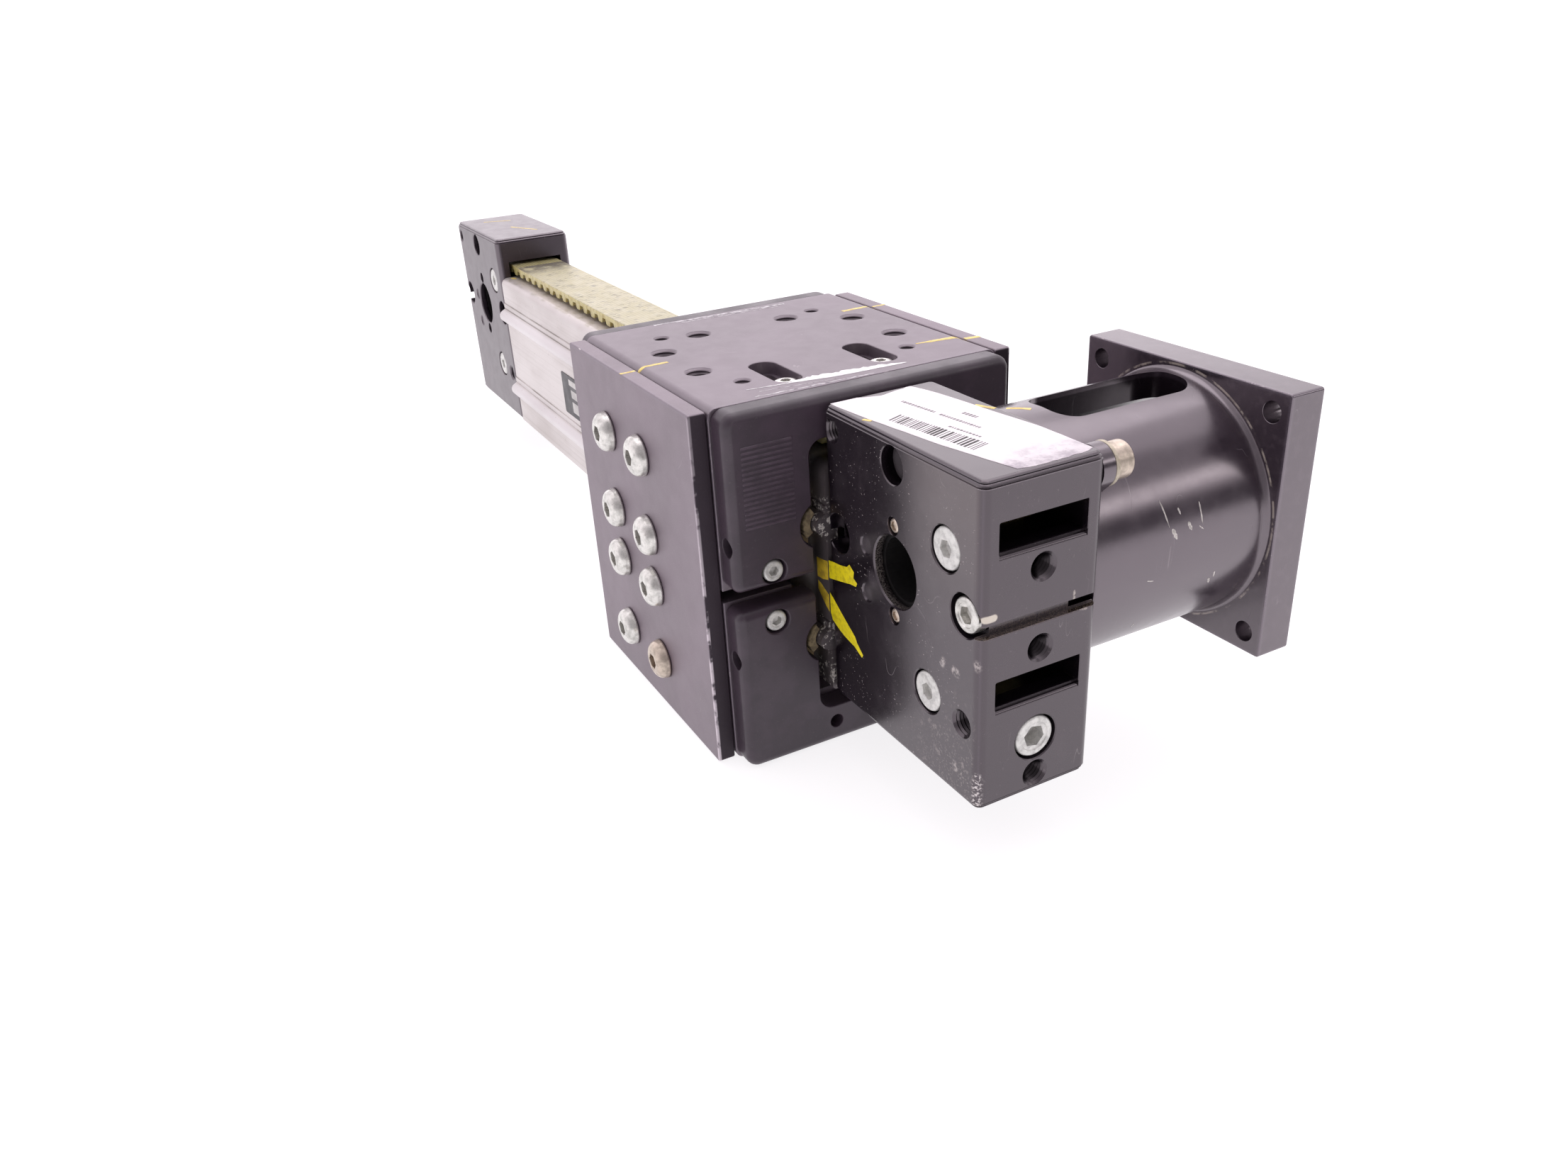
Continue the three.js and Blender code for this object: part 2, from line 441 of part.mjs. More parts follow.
// ---------------------------------------------------------------- end caps of the carriage
function cap(z0, z1, isUpper, rear) {
  const x1 = rear ? CART.x0 - GAP : CAP.front, x0 = x1 - CAP.t;
  const yl = CART.yc - CAP.halfY, yr = CART.yc + CAP.halfY;
  const zr = RIB_Z[isUpper ? 0 : 1];
  const open = isUpper ? rounded(-3.9, 43.9, z0 - 10, 88.2, [0, 0, 5, 5], 4) : rounded(-3.9, 43.9, -7.8, z1 + 10, [5, 5, 0, 0], 4);
  const screwZ = CAP_SCREW.z[isUpper ? 0 : 1];
  const headX = rear ? [x0 - 1, x0 + 4.6] : [x1 - 4.6, x1 + 1];
  const tools = [
    sweepX(open, x0 - 1, x1 + 1),
    // notches over the guide ribs, which hold the wipers
    cylX(0, zr, x0 - 1, x1 + 1, 8.2, 16),
    cylX(BEAM.w, zr, x0 - 1, x1 + 1, 8.2, 16),
    ...[-1, 1].flatMap((s) => [
      cylX(CART.yc + s * CAP_SCREW.dy, screwZ, x0 - 1, x1 + 1, 2.4, 10),
      cylX(CART.yc + s * CAP_SCREW.dy, screwZ, headX[0], headX[1], 4.3, 14),
      // blind holes in the outer sides
      cylY((x0 + x1) / 2, isUpper ? 58.4 : 18.6, s < 0 ? yl - 1 : yr - 9, s < 0 ? yl + 9 : yr + 1, 3.1, 10),
    ]),
  ];
  if (!isUpper) tools.push(cylX(1.9, -14.0, rear ? x0 - 1 : x1 - 5, rear ? x0 + 5 : x1 + 1, 2.4, 12), cylX(37.9, -14.0, rear ? x0 - 1 : x1 - 5, rear ? x0 + 5 : x1 + 1, 2.4, 12));
  // outer edges of the cap are rounded
  const r = 3.0;
  const lo = isUpper ? 2.5 : r, hi = isUpper ? r : 2.5;
  const bodyX = solid(sweepX(rounded(yl, yr, z0, z1, [lo, lo, hi, hi], 2), x0, x1));
  const bodyZ = solid(sweepZ(rear ? rounded(x0, x1, yl, yr, [r, 0, 0, r], 2) : rounded(x0, x1, yl, yr, [0, r, r, 0], 2), z0, z1));
  const bodyY = solid(sweepY(rear ? rounded(x0, x1, z0, z1, [isUpper ? 1.2 : r, 0, 0, isUpper ? r : 1.2], 2) : rounded(x0, x1, z0, z1, [0, isUpper ? 1.2 : r, isUpper ? r : 1.2, 0], 2), yl, yr));
  return cut(bodyX.intersect(bodyZ).intersect(bodyY), tools);
}
for (const [end, rear] of [["front", false], ["rear", true]]) {
  add(`${end}_cap_upper`, cap(SPLIT.cap[1], CART.z1 - 0.1, true, rear), blackPlastic());
  add(`${end}_cap_lower`, cap(CART.z0, SPLIT.cap[0], false, rear), blackPlastic());
}
for (const [level, k] of [["upper", 0], ["lower", 1]])
  for (const [side, s] of [["left", -1], ["right", 1]])
    add(
      `front_cap_screw_${level}_${side}`,
      place(capScrew(3.6, 3.9, 2.0, 10, 3, 12), [CAP.front - 0.5, CART.yc + s * CAP_SCREW.dy, CAP_SCREW.z[k]], FRONT),
      zinc(),
    );

export default group;
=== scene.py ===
import bpy
import bmesh
import math
import random
from mathutils import Matrix, Vector


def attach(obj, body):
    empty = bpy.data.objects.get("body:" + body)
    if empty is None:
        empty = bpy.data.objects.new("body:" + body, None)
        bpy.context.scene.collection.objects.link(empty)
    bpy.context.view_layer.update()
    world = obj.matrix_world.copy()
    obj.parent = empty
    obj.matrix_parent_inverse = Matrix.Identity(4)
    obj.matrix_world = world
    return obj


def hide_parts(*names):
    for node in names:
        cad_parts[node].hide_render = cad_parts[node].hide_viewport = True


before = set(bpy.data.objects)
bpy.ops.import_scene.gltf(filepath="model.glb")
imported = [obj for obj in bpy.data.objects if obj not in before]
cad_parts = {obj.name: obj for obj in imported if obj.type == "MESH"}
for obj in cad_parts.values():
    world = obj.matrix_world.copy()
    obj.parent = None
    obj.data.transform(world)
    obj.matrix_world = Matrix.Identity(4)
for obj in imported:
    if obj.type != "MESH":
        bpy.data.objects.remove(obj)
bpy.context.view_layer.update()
scene = bpy.context.scene
random.seed(7)

# Working coordinates are millimetres: x = 0 at the inner face of the drive housing, y = 0 at the left side of beam and
# housings, z = 0 at their underside. SH moves them to the row frame.
SH = Vector((174.65, -37.65, 22.1))
TO_ROW = Matrix.Scale(0.001, 4) @ Matrix.Translation(SH)
BEAM_L, HL, HW, HH = 350.2, 80.0, 40.0, 100.0
IDLER = -BEAM_L - HL
BX, BZ = 38.8, 59.4
YC = 19.9


# ------------------------------------------------------------------------------------------------ geometry helpers
def P3(axis, u, v, t):
    return (t, u, v) if axis == "x" else (u, t, v) if axis == "y" else (u, v, t)


def raw(verts, faces, name="tmp"):
    me = bpy.data.meshes.new(name)
    me.from_pydata([tuple(v) for v in verts], [], [tuple(f) for f in faces])
    bm = bmesh.new()
    bm.from_mesh(me)
    bmesh.ops.remove_doubles(bm, verts=bm.verts, dist=1e-5)
    bmesh.ops.recalc_face_normals(bm, faces=bm.faces)
    bm.to_mesh(me)
    bm.free()
    ob = bpy.data.objects.new(name, me)
    scene.collection.objects.link(ob)
    return ob


def loft(axis, rings):
    """Closed solid through outlines of equal point count; rings = [(t, [(u, v), ...]), ...]"""
    n = len(rings[0][1])
    V, F = [], []
    for t, o in rings:
        V += [P3(axis, u, v, t) for u, v in o]
    for k in range(len(rings) - 1):
        a = k * n
        for i in range(n):
            j = (i + 1) % n
            F.append((a + i, a + j, a + n + j, a + n + i))
    F.append(tuple(range(n))[::-1])
    F.append(tuple((len(rings) - 1) * n + i for i in range(n)))
    return raw(V, F)


def arc(cx, cy, r, a0, a1, n):
    return [(cx + r * math.cos(math.radians(a0 + (a1 - a0) * i / n)), cy + r * math.sin(math.radians(a0 + (a1 - a0) * i / n))) for i in range(n + 1)]


def rr(a0, a1, b0, b1, r, n=6, inset=0.0):
    """Rounded rectangle; r is one radius or [low-low, high-low, high-high, low-high]"""
    rs = list(r) if isinstance(r, (list, tuple)) else [r] * 4
    a0, a1, b0, b1 = a0 + inset, a1 - inset, b0 + inset, b1 - inset
    rs = [max(q - inset, 0.06) for q in rs]
    out = []
    for (ca, cb, s, sa, sb), q in zip([(a0, b0, 180, 1, 1), (a1, b0, 270, -1, 1), (a1, b1, 0, -1, -1), (a0, b1, 90, 1, -1)], rs):
        out += arc(ca + sa * q, cb + sb * q, q, s, s + 90, n)
    return out


def rbox(axis, a0, a1, b0, b1, t0, t1, r, f0=0.4, f1=0.4, n=6, m=3):
    """Block with rounded corners in its outline and rounded rims at both ends"""
    rings = []
    for i in range(m + 1):
        ph = math.radians(90 * i / m)
        rings.append((t0 + f0 * (1 - math.cos(ph)), rr(a0, a1, b0, b1, r, n, f0 * (1 - math.sin(ph)))))
    for i in range(m, -1, -1):
        ph = math.radians(90 * i / m)
        rings.append((t1 - f1 * (1 - math.cos(ph)), rr(a0, a1, b0, b1, r, n, f1 * (1 - math.sin(ph)))))
    return loft(axis, rings)


def circle(u, v, r, n):
    return [(u + r * math.cos(2 * math.pi * (i + 0.5) / n), v + r * math.sin(2 * math.pi * (i + 0.5) / n)) for i in range(n)]


def turned(axis, u, v, prof, n=40):
    """Solid of revolution; prof = [(r, t), ...] along the axis"""
    return loft(axis, [(t, circle(u, v, max(r, 0.01), n)) for r, t in prof])


def box(x0, x1, y0, y1, z0, z1):
    return loft("z", [(z0, [(x0, y0), (x1, y0), (x1, y1), (x0, y1)]), (z1, [(x0, y0), (x1, y0), (x1, y1), (x0, y1)])])


def hole(axis, u, v, t0, t1, r, n=36, ch=0.35, tip=0.0):
    """Cutter for a drilled hole that starts at face t0 and runs to t1, with a chamfered mouth"""
    s = 1 if t1 > t0 else -1
    prof = [(r + ch + 1.0, t0 - s * 1.0), (r, t0 + s * ch), (r, t1)]
    if tip:
        prof.append((0.05, t1 + s * tip))
    return turned(axis, u, v, prof, n)


def tapped(axis, u, v, t0, t1, r, pitch=1.1, n=32, ch=0.5):
    """Cutter for a threaded hole: the wall carries fine rings"""
    s = 1 if t1 > t0 else -1
    prof = [(r + ch + 1.0, t0 - s * 1.0), (r - 0.1, t0 + s * (ch + 0.1))]
    t = ch + 0.3
    while t + pitch < abs(t1 - t0):
        prof += [(r - 0.25, t0 + s * t), (r + 0.25, t0 + s * (t + pitch * 0.5))]
        t += pitch
    prof += [(r - 0.25, t1), (0.05, t1 + s * r * 0.5)]
    return turned(axis, u, v, prof, n)


def slot_cut(axis, a0, a1, b0, b1, r, t0, t1, ch=0.35, n=6):
    """Cutter for a pocket with rounded corners that starts at face t0 and runs to t1"""
    s = 1 if t1 > t0 else -1
    return loft(axis, [(t0 - s * 1.0, rr(a0, a1, b0, b1, r, n, -ch - 1.0)), (t0 + s * ch, rr(a0, a1, b0, b1, r, n)), (t1, rr(a0, a1, b0, b1, r, n))])


def boolean(body, cutters, op="DIFFERENCE", solver="MANIFOLD"):
    for c in cutters:
        m = body.modifiers.new("c", "BOOLEAN")
        m.operation = op
        m.object = c
        try:
            m.solver = solver
        except TypeError:
            m.solver = "EXACT"
    dg = bpy.context.evaluated_depsgraph_get()
    me = bpy.data.meshes.new_from_object(body.evaluated_get(dg))
    body.modifiers.clear()
    old = body.data
    body.data = me
    bpy.data.meshes.remove(old)
    for c in cutters:
        bpy.data.objects.remove(c, do_unlink=True)
    return body


def cut(body, cutters):
    return boolean(body, cutters, "DIFFERENCE")


def union(body, others):
    return boolean(body, others, "UNION")


def merged(parts):
    """Several separate closed shells in one mesh"""
    bm = bmesh.new()
    for p in parts:
        bm.from_mesh(p.data)
    me = bpy.data.meshes.new("tmp")
    bm.to_mesh(me)
    bm.free()
    for p in parts:
        bpy.data.objects.remove(p, do_unlink=True)
    ob = bpy.data.objects.new("tmp", me)
    scene.collection.objects.link(ob)
    return ob


def prism(axis, pts, t0, t1):
    return loft(axis, [(t0, pts), (t1, pts)])


def flake(axis, pts, t0, t1, inset=0.12):
    """Thin closed film with a softened rim: paint, label film or a scuff"""
    cu = sum(p[0] for p in pts) / len(pts)
    cv = sum(p[1] for p in pts) / len(pts)
    small = []
    for u, v in pts:
        d = math.hypot(u - cu, v - cv) or 1
        k = max(0.0, 1 - inset / d)
        small.append((cu + (u - cu) * k, cv + (v - cv) * k))
    return loft(axis, [(t0, pts), (t0 + (t1 - t0) * 0.5, pts), (t1, small)])


def shade(me, angle=50.0):
    bm = bmesh.new()
    bm.from_mesh(me)
    bmesh.ops.remove_doubles(bm, verts=bm.verts, dist=2e-4)
    bmesh.ops.dissolve_degenerate(bm, edges=bm.edges, dist=1e-4)
    lim = math.radians(angle)
    for f in bm.faces:
        f.smooth = True
    for e in bm.edges:
        if len(e.link_faces) == 2:
            e.smooth = e.calc_face_angle(0.0) < lim
        else:
            e.smooth = False
    bm.to_mesh(me)
    bm.free()


def piece(name, ob, body, material, replaces=(), angle=50.0, weighted=True):
    """Turns a solid in working millimetres into a named piece in the row frame that rides on a body"""
    me = ob.data
    shade(me, angle)
    me.transform(TO_ROW)
    me.materials.clear()
    me.materials.append(material)
    ob.name = name
    me.name = name
    if weighted:
        w = ob.modifiers.new("normals", "WEIGHTED_NORMAL")
        w.keep_sharp = True
        w.weight = 80
    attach(ob, body)
    if replaces:
        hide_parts(*replaces)
    return ob


def onto(ob, origin, direction):
    """Places a piece made along +Z with its top at 0 so that +Z points along direction and 0 sits at origin (mm)"""
    q = Vector((0, 0, 1)).rotation_difference(Vector(direction)).to_matrix().to_4x4()
    ob.data.transform(Matrix.Translation(Vector(origin)) @ q)
    return ob


# ------------------------------------------------------------------------------------------------ materials
def lin(r, g, b):
    def f(c):
        c /= 255.0
        return c / 12.92 if c <= 0.04045 else ((c + 0.055) / 1.055) ** 2.4

    return (f(r), f(g), f(b), 1.0)


class Mat:
    """Small helper around a node tree; P is the place on the piece in working millimetres"""

    def __init__(self, name):
        self.m = bpy.data.materials.new(name)
        self.m.use_nodes = True
        self.t = self.m.node_tree
        self.t.nodes.clear()
        self.out = self.t.nodes.new("ShaderNodeOutputMaterial")
        self.bsdf = self.t.nodes.new("ShaderNodeBsdfPrincipled")
        self.t.links.new(self.bsdf.outputs[0], self.out.inputs[0])
        tc = self.t.nodes.new("ShaderNodeTexCoord")
        mp = self.t.nodes.new("ShaderNodeMapping")
        mp.inputs["Scale"].default_value = (1000, 1000, 1000)
        mp.inputs["Location"].default_value = (-SH.x, -SH.y, -SH.z)
        self.t.links.new(tc.outputs["Object"], mp.inputs["Vector"])
        self.P = mp.outputs[0]
        self._xyz = None

    def put(self, sock, val):
        if isinstance(val, bpy.types.NodeSocket):
            self.t.links.new(val, sock)
        elif val is not None:
            sock.default_value = val

    def math(self, op, a, b=None, c=None, clamp=False):
        n = self.t.nodes.new("ShaderNodeMath")
        n.operation = op
        n.use_clamp = clamp
        for i, v in enumerate((a, b, c)):
            if v is not None:
                self.put(n.inputs[i], v)
        return n.outputs[0]

    def vec(self, op, a, b=None, scale=None):
        n = self.t.nodes.new("ShaderNodeVectorMath")
        n.operation = op
        self.put(n.inputs[0], a)
        if b is not None:
            self.put(n.inputs[1], b)
        if scale is not None:
            self.put(n.inputs["Scale"], scale)
        return n.outputs["Value"] if op in ("DOT_PRODUCT", "LENGTH", "DISTANCE") else n.outputs["Vector"]

    def xyz(self):
        if self._xyz is None:
            n = self.t.nodes.new("ShaderNodeSeparateXYZ")
            self.t.links.new(self.P, n.inputs[0])
            self._xyz = tuple(n.outputs)
        return self._xyz

    def noise(self, scale, detail=3.0, rough=0.55, stretch=None, seed=0.0, distort=0.0):
        """Noise whose features are about scale millimetres"""
        mp = self.t.nodes.new("ShaderNodeMapping")
        s = stretch or (1, 1, 1)
        mp.inputs["Scale"].default_value = tuple(1.0 / (scale * q) for q in s)
        mp.inputs["Location"].default_value = (seed * 3.1, seed * 1.7, seed * 2.3)
        self.t.links.new(self.P, mp.inputs["Vector"])
        n = self.t.nodes.new("ShaderNodeTexNoise")
        n.inputs["Scale"].default_value = 1.0
        n.inputs["Detail"].default_value = detail
        n.inputs["Roughness"].default_value = rough
        n.inputs["Distortion"].default_value = distort
        self.t.links.new(mp.outputs[0], n.inputs["Vector"])
        return n.outputs["Fac"]

    def step(self, v, lo, hi, a=0.0, b=1.0, smooth=True):
        n = self.t.nodes.new("ShaderNodeMapRange")
        n.interpolation_type = "SMOOTHSTEP" if smooth else "LINEAR"
        self.put(n.inputs["Value"], v)
        n.inputs["From Min"].default_value = lo
        n.inputs["From Max"].default_value = hi
        n.inputs["To Min"].default_value = a
        n.inputs["To Max"].default_value = b
        return n.outputs[0]

    def mix(self, fac, a, b, blend="MIX"):
        n = self.t.nodes.new("ShaderNodeMix")
        n.data_type = "RGBA"
        n.blend_type = blend
        self.put(n.inputs[0], fac)
        self.put(n.inputs[6], a)
        self.put(n.inputs[7], b)
        return n.outputs[2]

    def mixf(self, fac, a, b):
        n = self.t.nodes.new("ShaderNodeMix")
        n.data_type = "FLOAT"
        self.put(n.inputs[0], fac)
        self.put(n.inputs[2], a)
        self.put(n.inputs[3], b)
        return n.outputs[0]

    def edge(self, lo, hi):
        """Distance in mm to the nearest edge of the box lo..hi"""
        ds = []
        for c, a, b in zip(self.xyz(), lo, hi):
            ds.append(self.math("ABSOLUTE", self.math("MINIMUM", self.math("SUBTRACT", c, a), self.math("SUBTRACT", b, c))))
        a, b, c = ds
        return self.math("MAXIMUM", self.math("MINIMUM", a, b), self.math("MINIMUM", self.math("MAXIMUM", a, b), c))

    def capsule(self, a, b, r, soft):
        """1 inside a thick line from a to b, 0 outside"""
        A, B = Vector(a), Vector(b)
        ba = B - A
        pa = self.vec("SUBTRACT", self.P, tuple(A))
        h = self.math("MULTIPLY", self.vec("DOT_PRODUCT", pa, tuple(ba)), 1.0 / max(ba.length_squared, 1e-9), clamp=True)
        d = self.vec("LENGTH", self.vec("SUBTRACT", pa, self.vec("SCALE", tuple(ba), scale=h)))
        return self.step(d, r - soft, r + soft, 1.0, 0.0)

    def maxi(self, items):
        v = items[0]
        for q in items[1:]:
            v = self.math("MAXIMUM", v, q)
        return v

    def bump(self, height, strength, dist_mm, prev=None):
        n = self.t.nodes.new("ShaderNodeBump")
        n.inputs["Strength"].default_value = strength
        n.inputs["Distance"].default_value = dist_mm * 0.001
        self.put(n.inputs["Height"], height)
        if prev is not None:
            self.t.links.new(prev, n.inputs["Normal"])
        return n.outputs[0]

    def set(self, **kw):
        names = {"color": "Base Color", "metallic": "Metallic", "rough": "Roughness", "normal": "Normal", "spec": "Specular IOR Level",
                 "coat": "Coat Weight", "coat_rough": "Coat Roughness", "sheen": "Sheen Weight", "sss": "Subsurface Weight",
                 "sss_radius": "Subsurface Radius", "sss_scale": "Subsurface Scale", "alpha": "Alpha", "trans": "Transmission Weight", "ior": "IOR"}
        for k, v in kw.items():
            self.put(self.bsdf.inputs[names[k]], v)
        return self.m


def black_metal(name, lo, hi, base=(46, 41, 50), rough=0.42, wear=0.5, dirt=0.35, seed=1.0, extra=None, spec=0.5, ior=2.2):
    """Scuffed black anodised aluminium. lo, hi: box whose edges are worn. extra(M, colour, rough) adds local marks."""
    M = Mat(name)
    big = M.noise(38, 3, 0.55, seed=seed)
    mid = M.noise(7, 4, 0.6, seed=seed + 3)
    fine = M.noise(0.55, 2, 0.6, seed=seed + 5)
    c0 = lin(*base)
    c1 = lin(*(min(255, int(q * 1.15 + 4)) for q in base))
    col = M.mix(M.step(big, 0.35, 0.7), c0, c1)
    # handling haze: slightly lighter and dustier patches
    haze = M.math("MULTIPLY", M.step(mid, 0.5, 0.78), M.step(big, 0.42, 0.66))
    col = M.mix(M.math("MULTIPLY", haze, dirt * 0.5), col, lin(92, 84, 88))
    # fine pale specks of dust
    speck = M.step(M.noise(0.9, 1, 0.5, seed=seed + 8), 0.715, 0.76)
    col = M.mix(M.math("MULTIPLY", speck, dirt * 0.6), col, lin(132, 124, 124))
    # a few long fine scratches
    sc = M.math("ABSOLUTE", M.math("SUBTRACT", M.noise(22, 2, 0.4, stretch=(1.0, 0.45, 1.6), seed=seed + 11, distort=0.6), 0.5))
    gate = M.step(M.noise(14, 2, 0.5, seed=seed + 13), 0.56, 0.66)
    scratch = M.math("MULTIPLY", M.step(sc, 0.0, 0.0035, 1.0, 0.0), gate)
    col = M.mix(M.math("MULTIPLY", scratch, 0.35), col, lin(140, 134, 136))
    # a lighter band along every edge of the box, and bare metal where the edges are rubbed
    e = M.edge(lo, hi)
    chip = M.noise(2.6, 4, 0.65, seed=seed + 17)
    along = M.noise(16, 2, 0.5, seed=seed + 19)
    worn = M.math("MULTIPLY", M.step(M.math("SUBTRACT", M.math("MULTIPLY", chip, 2.1), e), 0.98, 1.12), M.step(along, 0.52, 0.66))
    worn = M.math("MULTIPLY", worn, wear, clamp=True)
    rub = M.math("MULTIPLY", M.step(e, 0.2, 1.5, 1.0, 0.0), 0.42)
    col = M.mix(rub, col, lin(100, 93, 104))
    col = M.mix(worn, col, lin(206, 200, 200))
    r = M.math("ADD", M.step(mid, 0.3, 0.75, rough - 0.02, rough + 0.04), M.math("MULTIPLY", fine, 0.05))
    if extra:
        col, r = extra(M, col, r)
    nrm = M.bump(fine, 0.15, 0.02)
    nrm = M.bump(M.math("ADD", M.math("MULTIPLY", worn, -1.0), M.math("MULTIPLY", scratch, -0.5)), 0.5, 0.05, nrm)
    M.bsdf.inputs["Specular Tint"].default_value = (1.0, 0.885, 0.96, 1.0)
    return M.set(color=col, metallic=0.0, rough=r, normal=nrm, spec=M.level if hasattr(M, "level") else spec, ior=ior)


def bright_metal(name, base=(214, 212, 208), rough=0.26, metallic=0.92, seed=2.0, grime=0.5, stretch=None, warm=None):
    """Zinc plated or machined metal with smudges, fine scratches and grime in places"""
    M = Mat(name)
    mid = M.noise(2.2, 4, 0.6, seed=seed)
    fine = M.noise(0.28, 3, 0.6, seed=seed + 2, stretch=stretch)
    col = M.mix(M.step(mid, 0.35, 0.75), lin(*base), lin(*(int(q * 0.82) for q in base)))
    g = M.step(M.noise(1.3, 4, 0.65, seed=seed + 4), 0.58, 0.74)
    col = M.mix(M.math("MULTIPLY", g, grime * 0.7), col, lin(*(warm or (120, 112, 100))))
    sp = M.step(M.noise(0.5, 2, 0.5, seed=seed + 6), 0.68, 0.74)
    col = M.mix(M.math("MULTIPLY", sp, grime * 0.5), col, lin(70, 64, 60))
    r = M.math("ADD", M.step(mid, 0.3, 0.75, rough - 0.05, rough + 0.12), M.math("MULTIPLY", fine, 0.12))
    nrm = M.bump(M.math("ADD", fine, M.math("MULTIPLY", mid, 0.6)), 0.3, 0.04)
    return M.set(color=col, metallic=metallic, rough=r, normal=nrm)


def plain(name, base, rough, seed=3.0, var=0.85, grain=0.35, bump_mm=0.05, speck=None, metallic=0.0, spec=0.5, patch=6.0, patch_col=None, patch_amt=0.5):
    M = Mat(name)
    mid = M.noise(patch, 4, 0.6, seed=seed)
    fine = M.noise(grain, 3, 0.6, seed=seed + 2)
    col = M.mix(M.step(mid, 0.35, 0.7), lin(*base), lin(*(int(q * var) for q in base)))
    if patch_col:
        col = M.mix(M.math("MULTIPLY", M.step(mid, 0.52, 0.68), patch_amt), col, lin(*patch_col))
    if speck:
        col = M.mix(M.step(M.noise(grain * 2.2, 2, 0.5, seed=seed + 5), 0.64, 0.72, 0.0, 0.6), col, lin(*speck))
    r = M.step(mid, 0.3, 0.75, rough - 0.06, rough + 0.08)
    return M.set(color=col, metallic=metallic, rough=r, normal=M.bump(fine, 0.35, bump_mm), spec=spec)


# ---- local marks
def drive_marks(M, col, r):
    x, y, z = M.xyz()
    onleft = M.step(y, 0.0, 0.6, 1.0, 0.0)
    onend = M.step(x, HL - 0.6, HL - 0.1)
    # whitish dust and rub marks low on the left side and along the bottom corner
    low = M.step(z, 2.0, 46.0, 1.0, 0.0)
    front = M.step(x, 34.0, 74.0)
    spots = M.step(M.noise(3.4, 3, 0.6, seed=31), 0.6, 0.7)
    dust = M.step(M.noise(0.8, 3, 0.6, seed=32), 0.56, 0.66)
    d = M.math("MULTIPLY", M.math("MULTIPLY", low, front), M.math("ADD", M.math("MULTIPLY", spots, 0.55), M.math("MULTIPLY", dust, 0.4)))
    col = M.mix(M.math("MULTIPLY", M.math("MULTIPLY", d, onleft), 0.9), col, lin(160, 150, 146))
    pin = M.math("MULTIPLY", M.step(M.noise(0.75, 1, 0.5, seed=34), 0.70, 0.74), M.math("MULTIPLY", onleft, M.step(M.noise(12, 2, 0.5, seed=35), 0.4, 0.6)))
    col = M.mix(M.math("MULTIPLY", pin, 0.7), col, lin(168, 160, 160))
    warm = M.math("MULTIPLY", M.math("MULTIPLY", M.step(z, 46, 96), M.step(x, 38, 62)), onleft)
    col = M.mix(M.math("MULTIPLY", warm, 0.35), col, lin(92, 82, 76))
    # rounded rub marks
    for a, b, q in [((69.9, 0, 41.0), (68.6, 0, 41.2), 1.3), ((79.0, 0, 46.5), (78.6, 0, 47.6), 1.2), ((69.5, 0, 9.4), (69.2, 0, 10.6), 1.0), ((62.8, 0, 40.6), (63.4, 0, 42.0), 0.9)]:
        m = M.math("MULTIPLY", M.capsule(a, b, q, 0.6), M.step(M.noise(1.2, 3, 0.6, seed=40 + q), 0.35, 0.6))
        col = M.mix(M.math("MULTIPLY", m, 0.8), col, lin(176, 168, 164))
    # chips at the bottom front corner
    m = M.math("MULTIPLY", M.capsule((79, 0.3, 1.5), (79.4, 0.2, 11.0), 1.5, 0.9), M.step(M.noise(0.9, 4, 0.7, seed=47), 0.5, 0.56))
    col = M.mix(m, col, lin(214, 208, 206))
    # grime in the end face groove
    gr = M.math("MULTIPLY", M.math("MULTIPLY", M.step(z, 54.9, 55.3), M.step(z, 58.9, 59.3, 1.0, 0.0)), M.step(x, HL - 2.9, HL - 2.3))
    grain = M.step(M.noise(0.7, 4, 0.7, seed=51), 0.4, 0.62)
    col = M.mix(M.math("MULTIPLY", gr, 0.8), col, M.mix(grain, lin(44, 38, 36), lin(122, 108, 94)))
    # painted shade in the slots: from about 6.6 mm inside the end face the slot is painted nearly black, mottled
    for z0, z1 in ((77.0, 88.2), (30.2, 41.2)):
        s = M.math("MULTIPLY", M.math("MULTIPLY", M.step(z, z0, z0 + 0.3), M.step(z, z1 - 0.3, z1, 1.0, 0.0)), M.math("MULTIPLY", M.step(x, HL - 6.4, HL - 6.8, 0.0, 1.0), M.step(x, HL - 40.0, HL - 30.0, 0.0, 1.0)))
        s = M.math("MULTIPLY", s, M.math("MULTIPLY", M.step(y, 5.4, 5.9), M.step(y, 34.3, 34.8, 1.0, 0.0)))
        col = M.mix(M.math("MULTIPLY", s, 0.9), col, M.mix(M.step(M.noise(1.6, 3, 0.6, seed=52), 0.5, 0.7), lin(14, 11, 14), lin(40, 36, 36)))
    # scribed hairlines on the end face
    hl = []
    for a, b in [((HL, 25.6, 99.0), (HL, 25.5, 88.2)), ((HL, 25.5, 77.0), (HL, 25.4, 59.4)), ((HL, 15.4, 70.0), (HL, 15.3, 59.6)), ((HL, 15.2, 30.0), (HL, 15.0, 0.5)), ((HL, 5.4, 88.0), (HL, 0.6, 91.5))]:
        hl.append(M.capsule(a, b, 0.13, 0.09))
    h = M.maxi(hl)
    col = M.mix(M.math("MULTIPLY", h, 0.75), col, lin(22, 18, 24))
    # bare edge of the right hand notch
    bare = M.math("MULTIPLY", M.maxi([M.capsule((HL, 31.2, 56.0), (HL, 31.2, 61.5), 0.35, 0.3), M.capsule((HL, 31.2, 56.0), (HL, 35.8, 55.0), 0.35, 0.3)]), M.step(M.noise(0.8, 3, 0.6, seed=61), 0.36, 0.52))
    col = M.mix(M.math("MULTIPLY", bare, 0.75), col, lin(190, 182, 172))
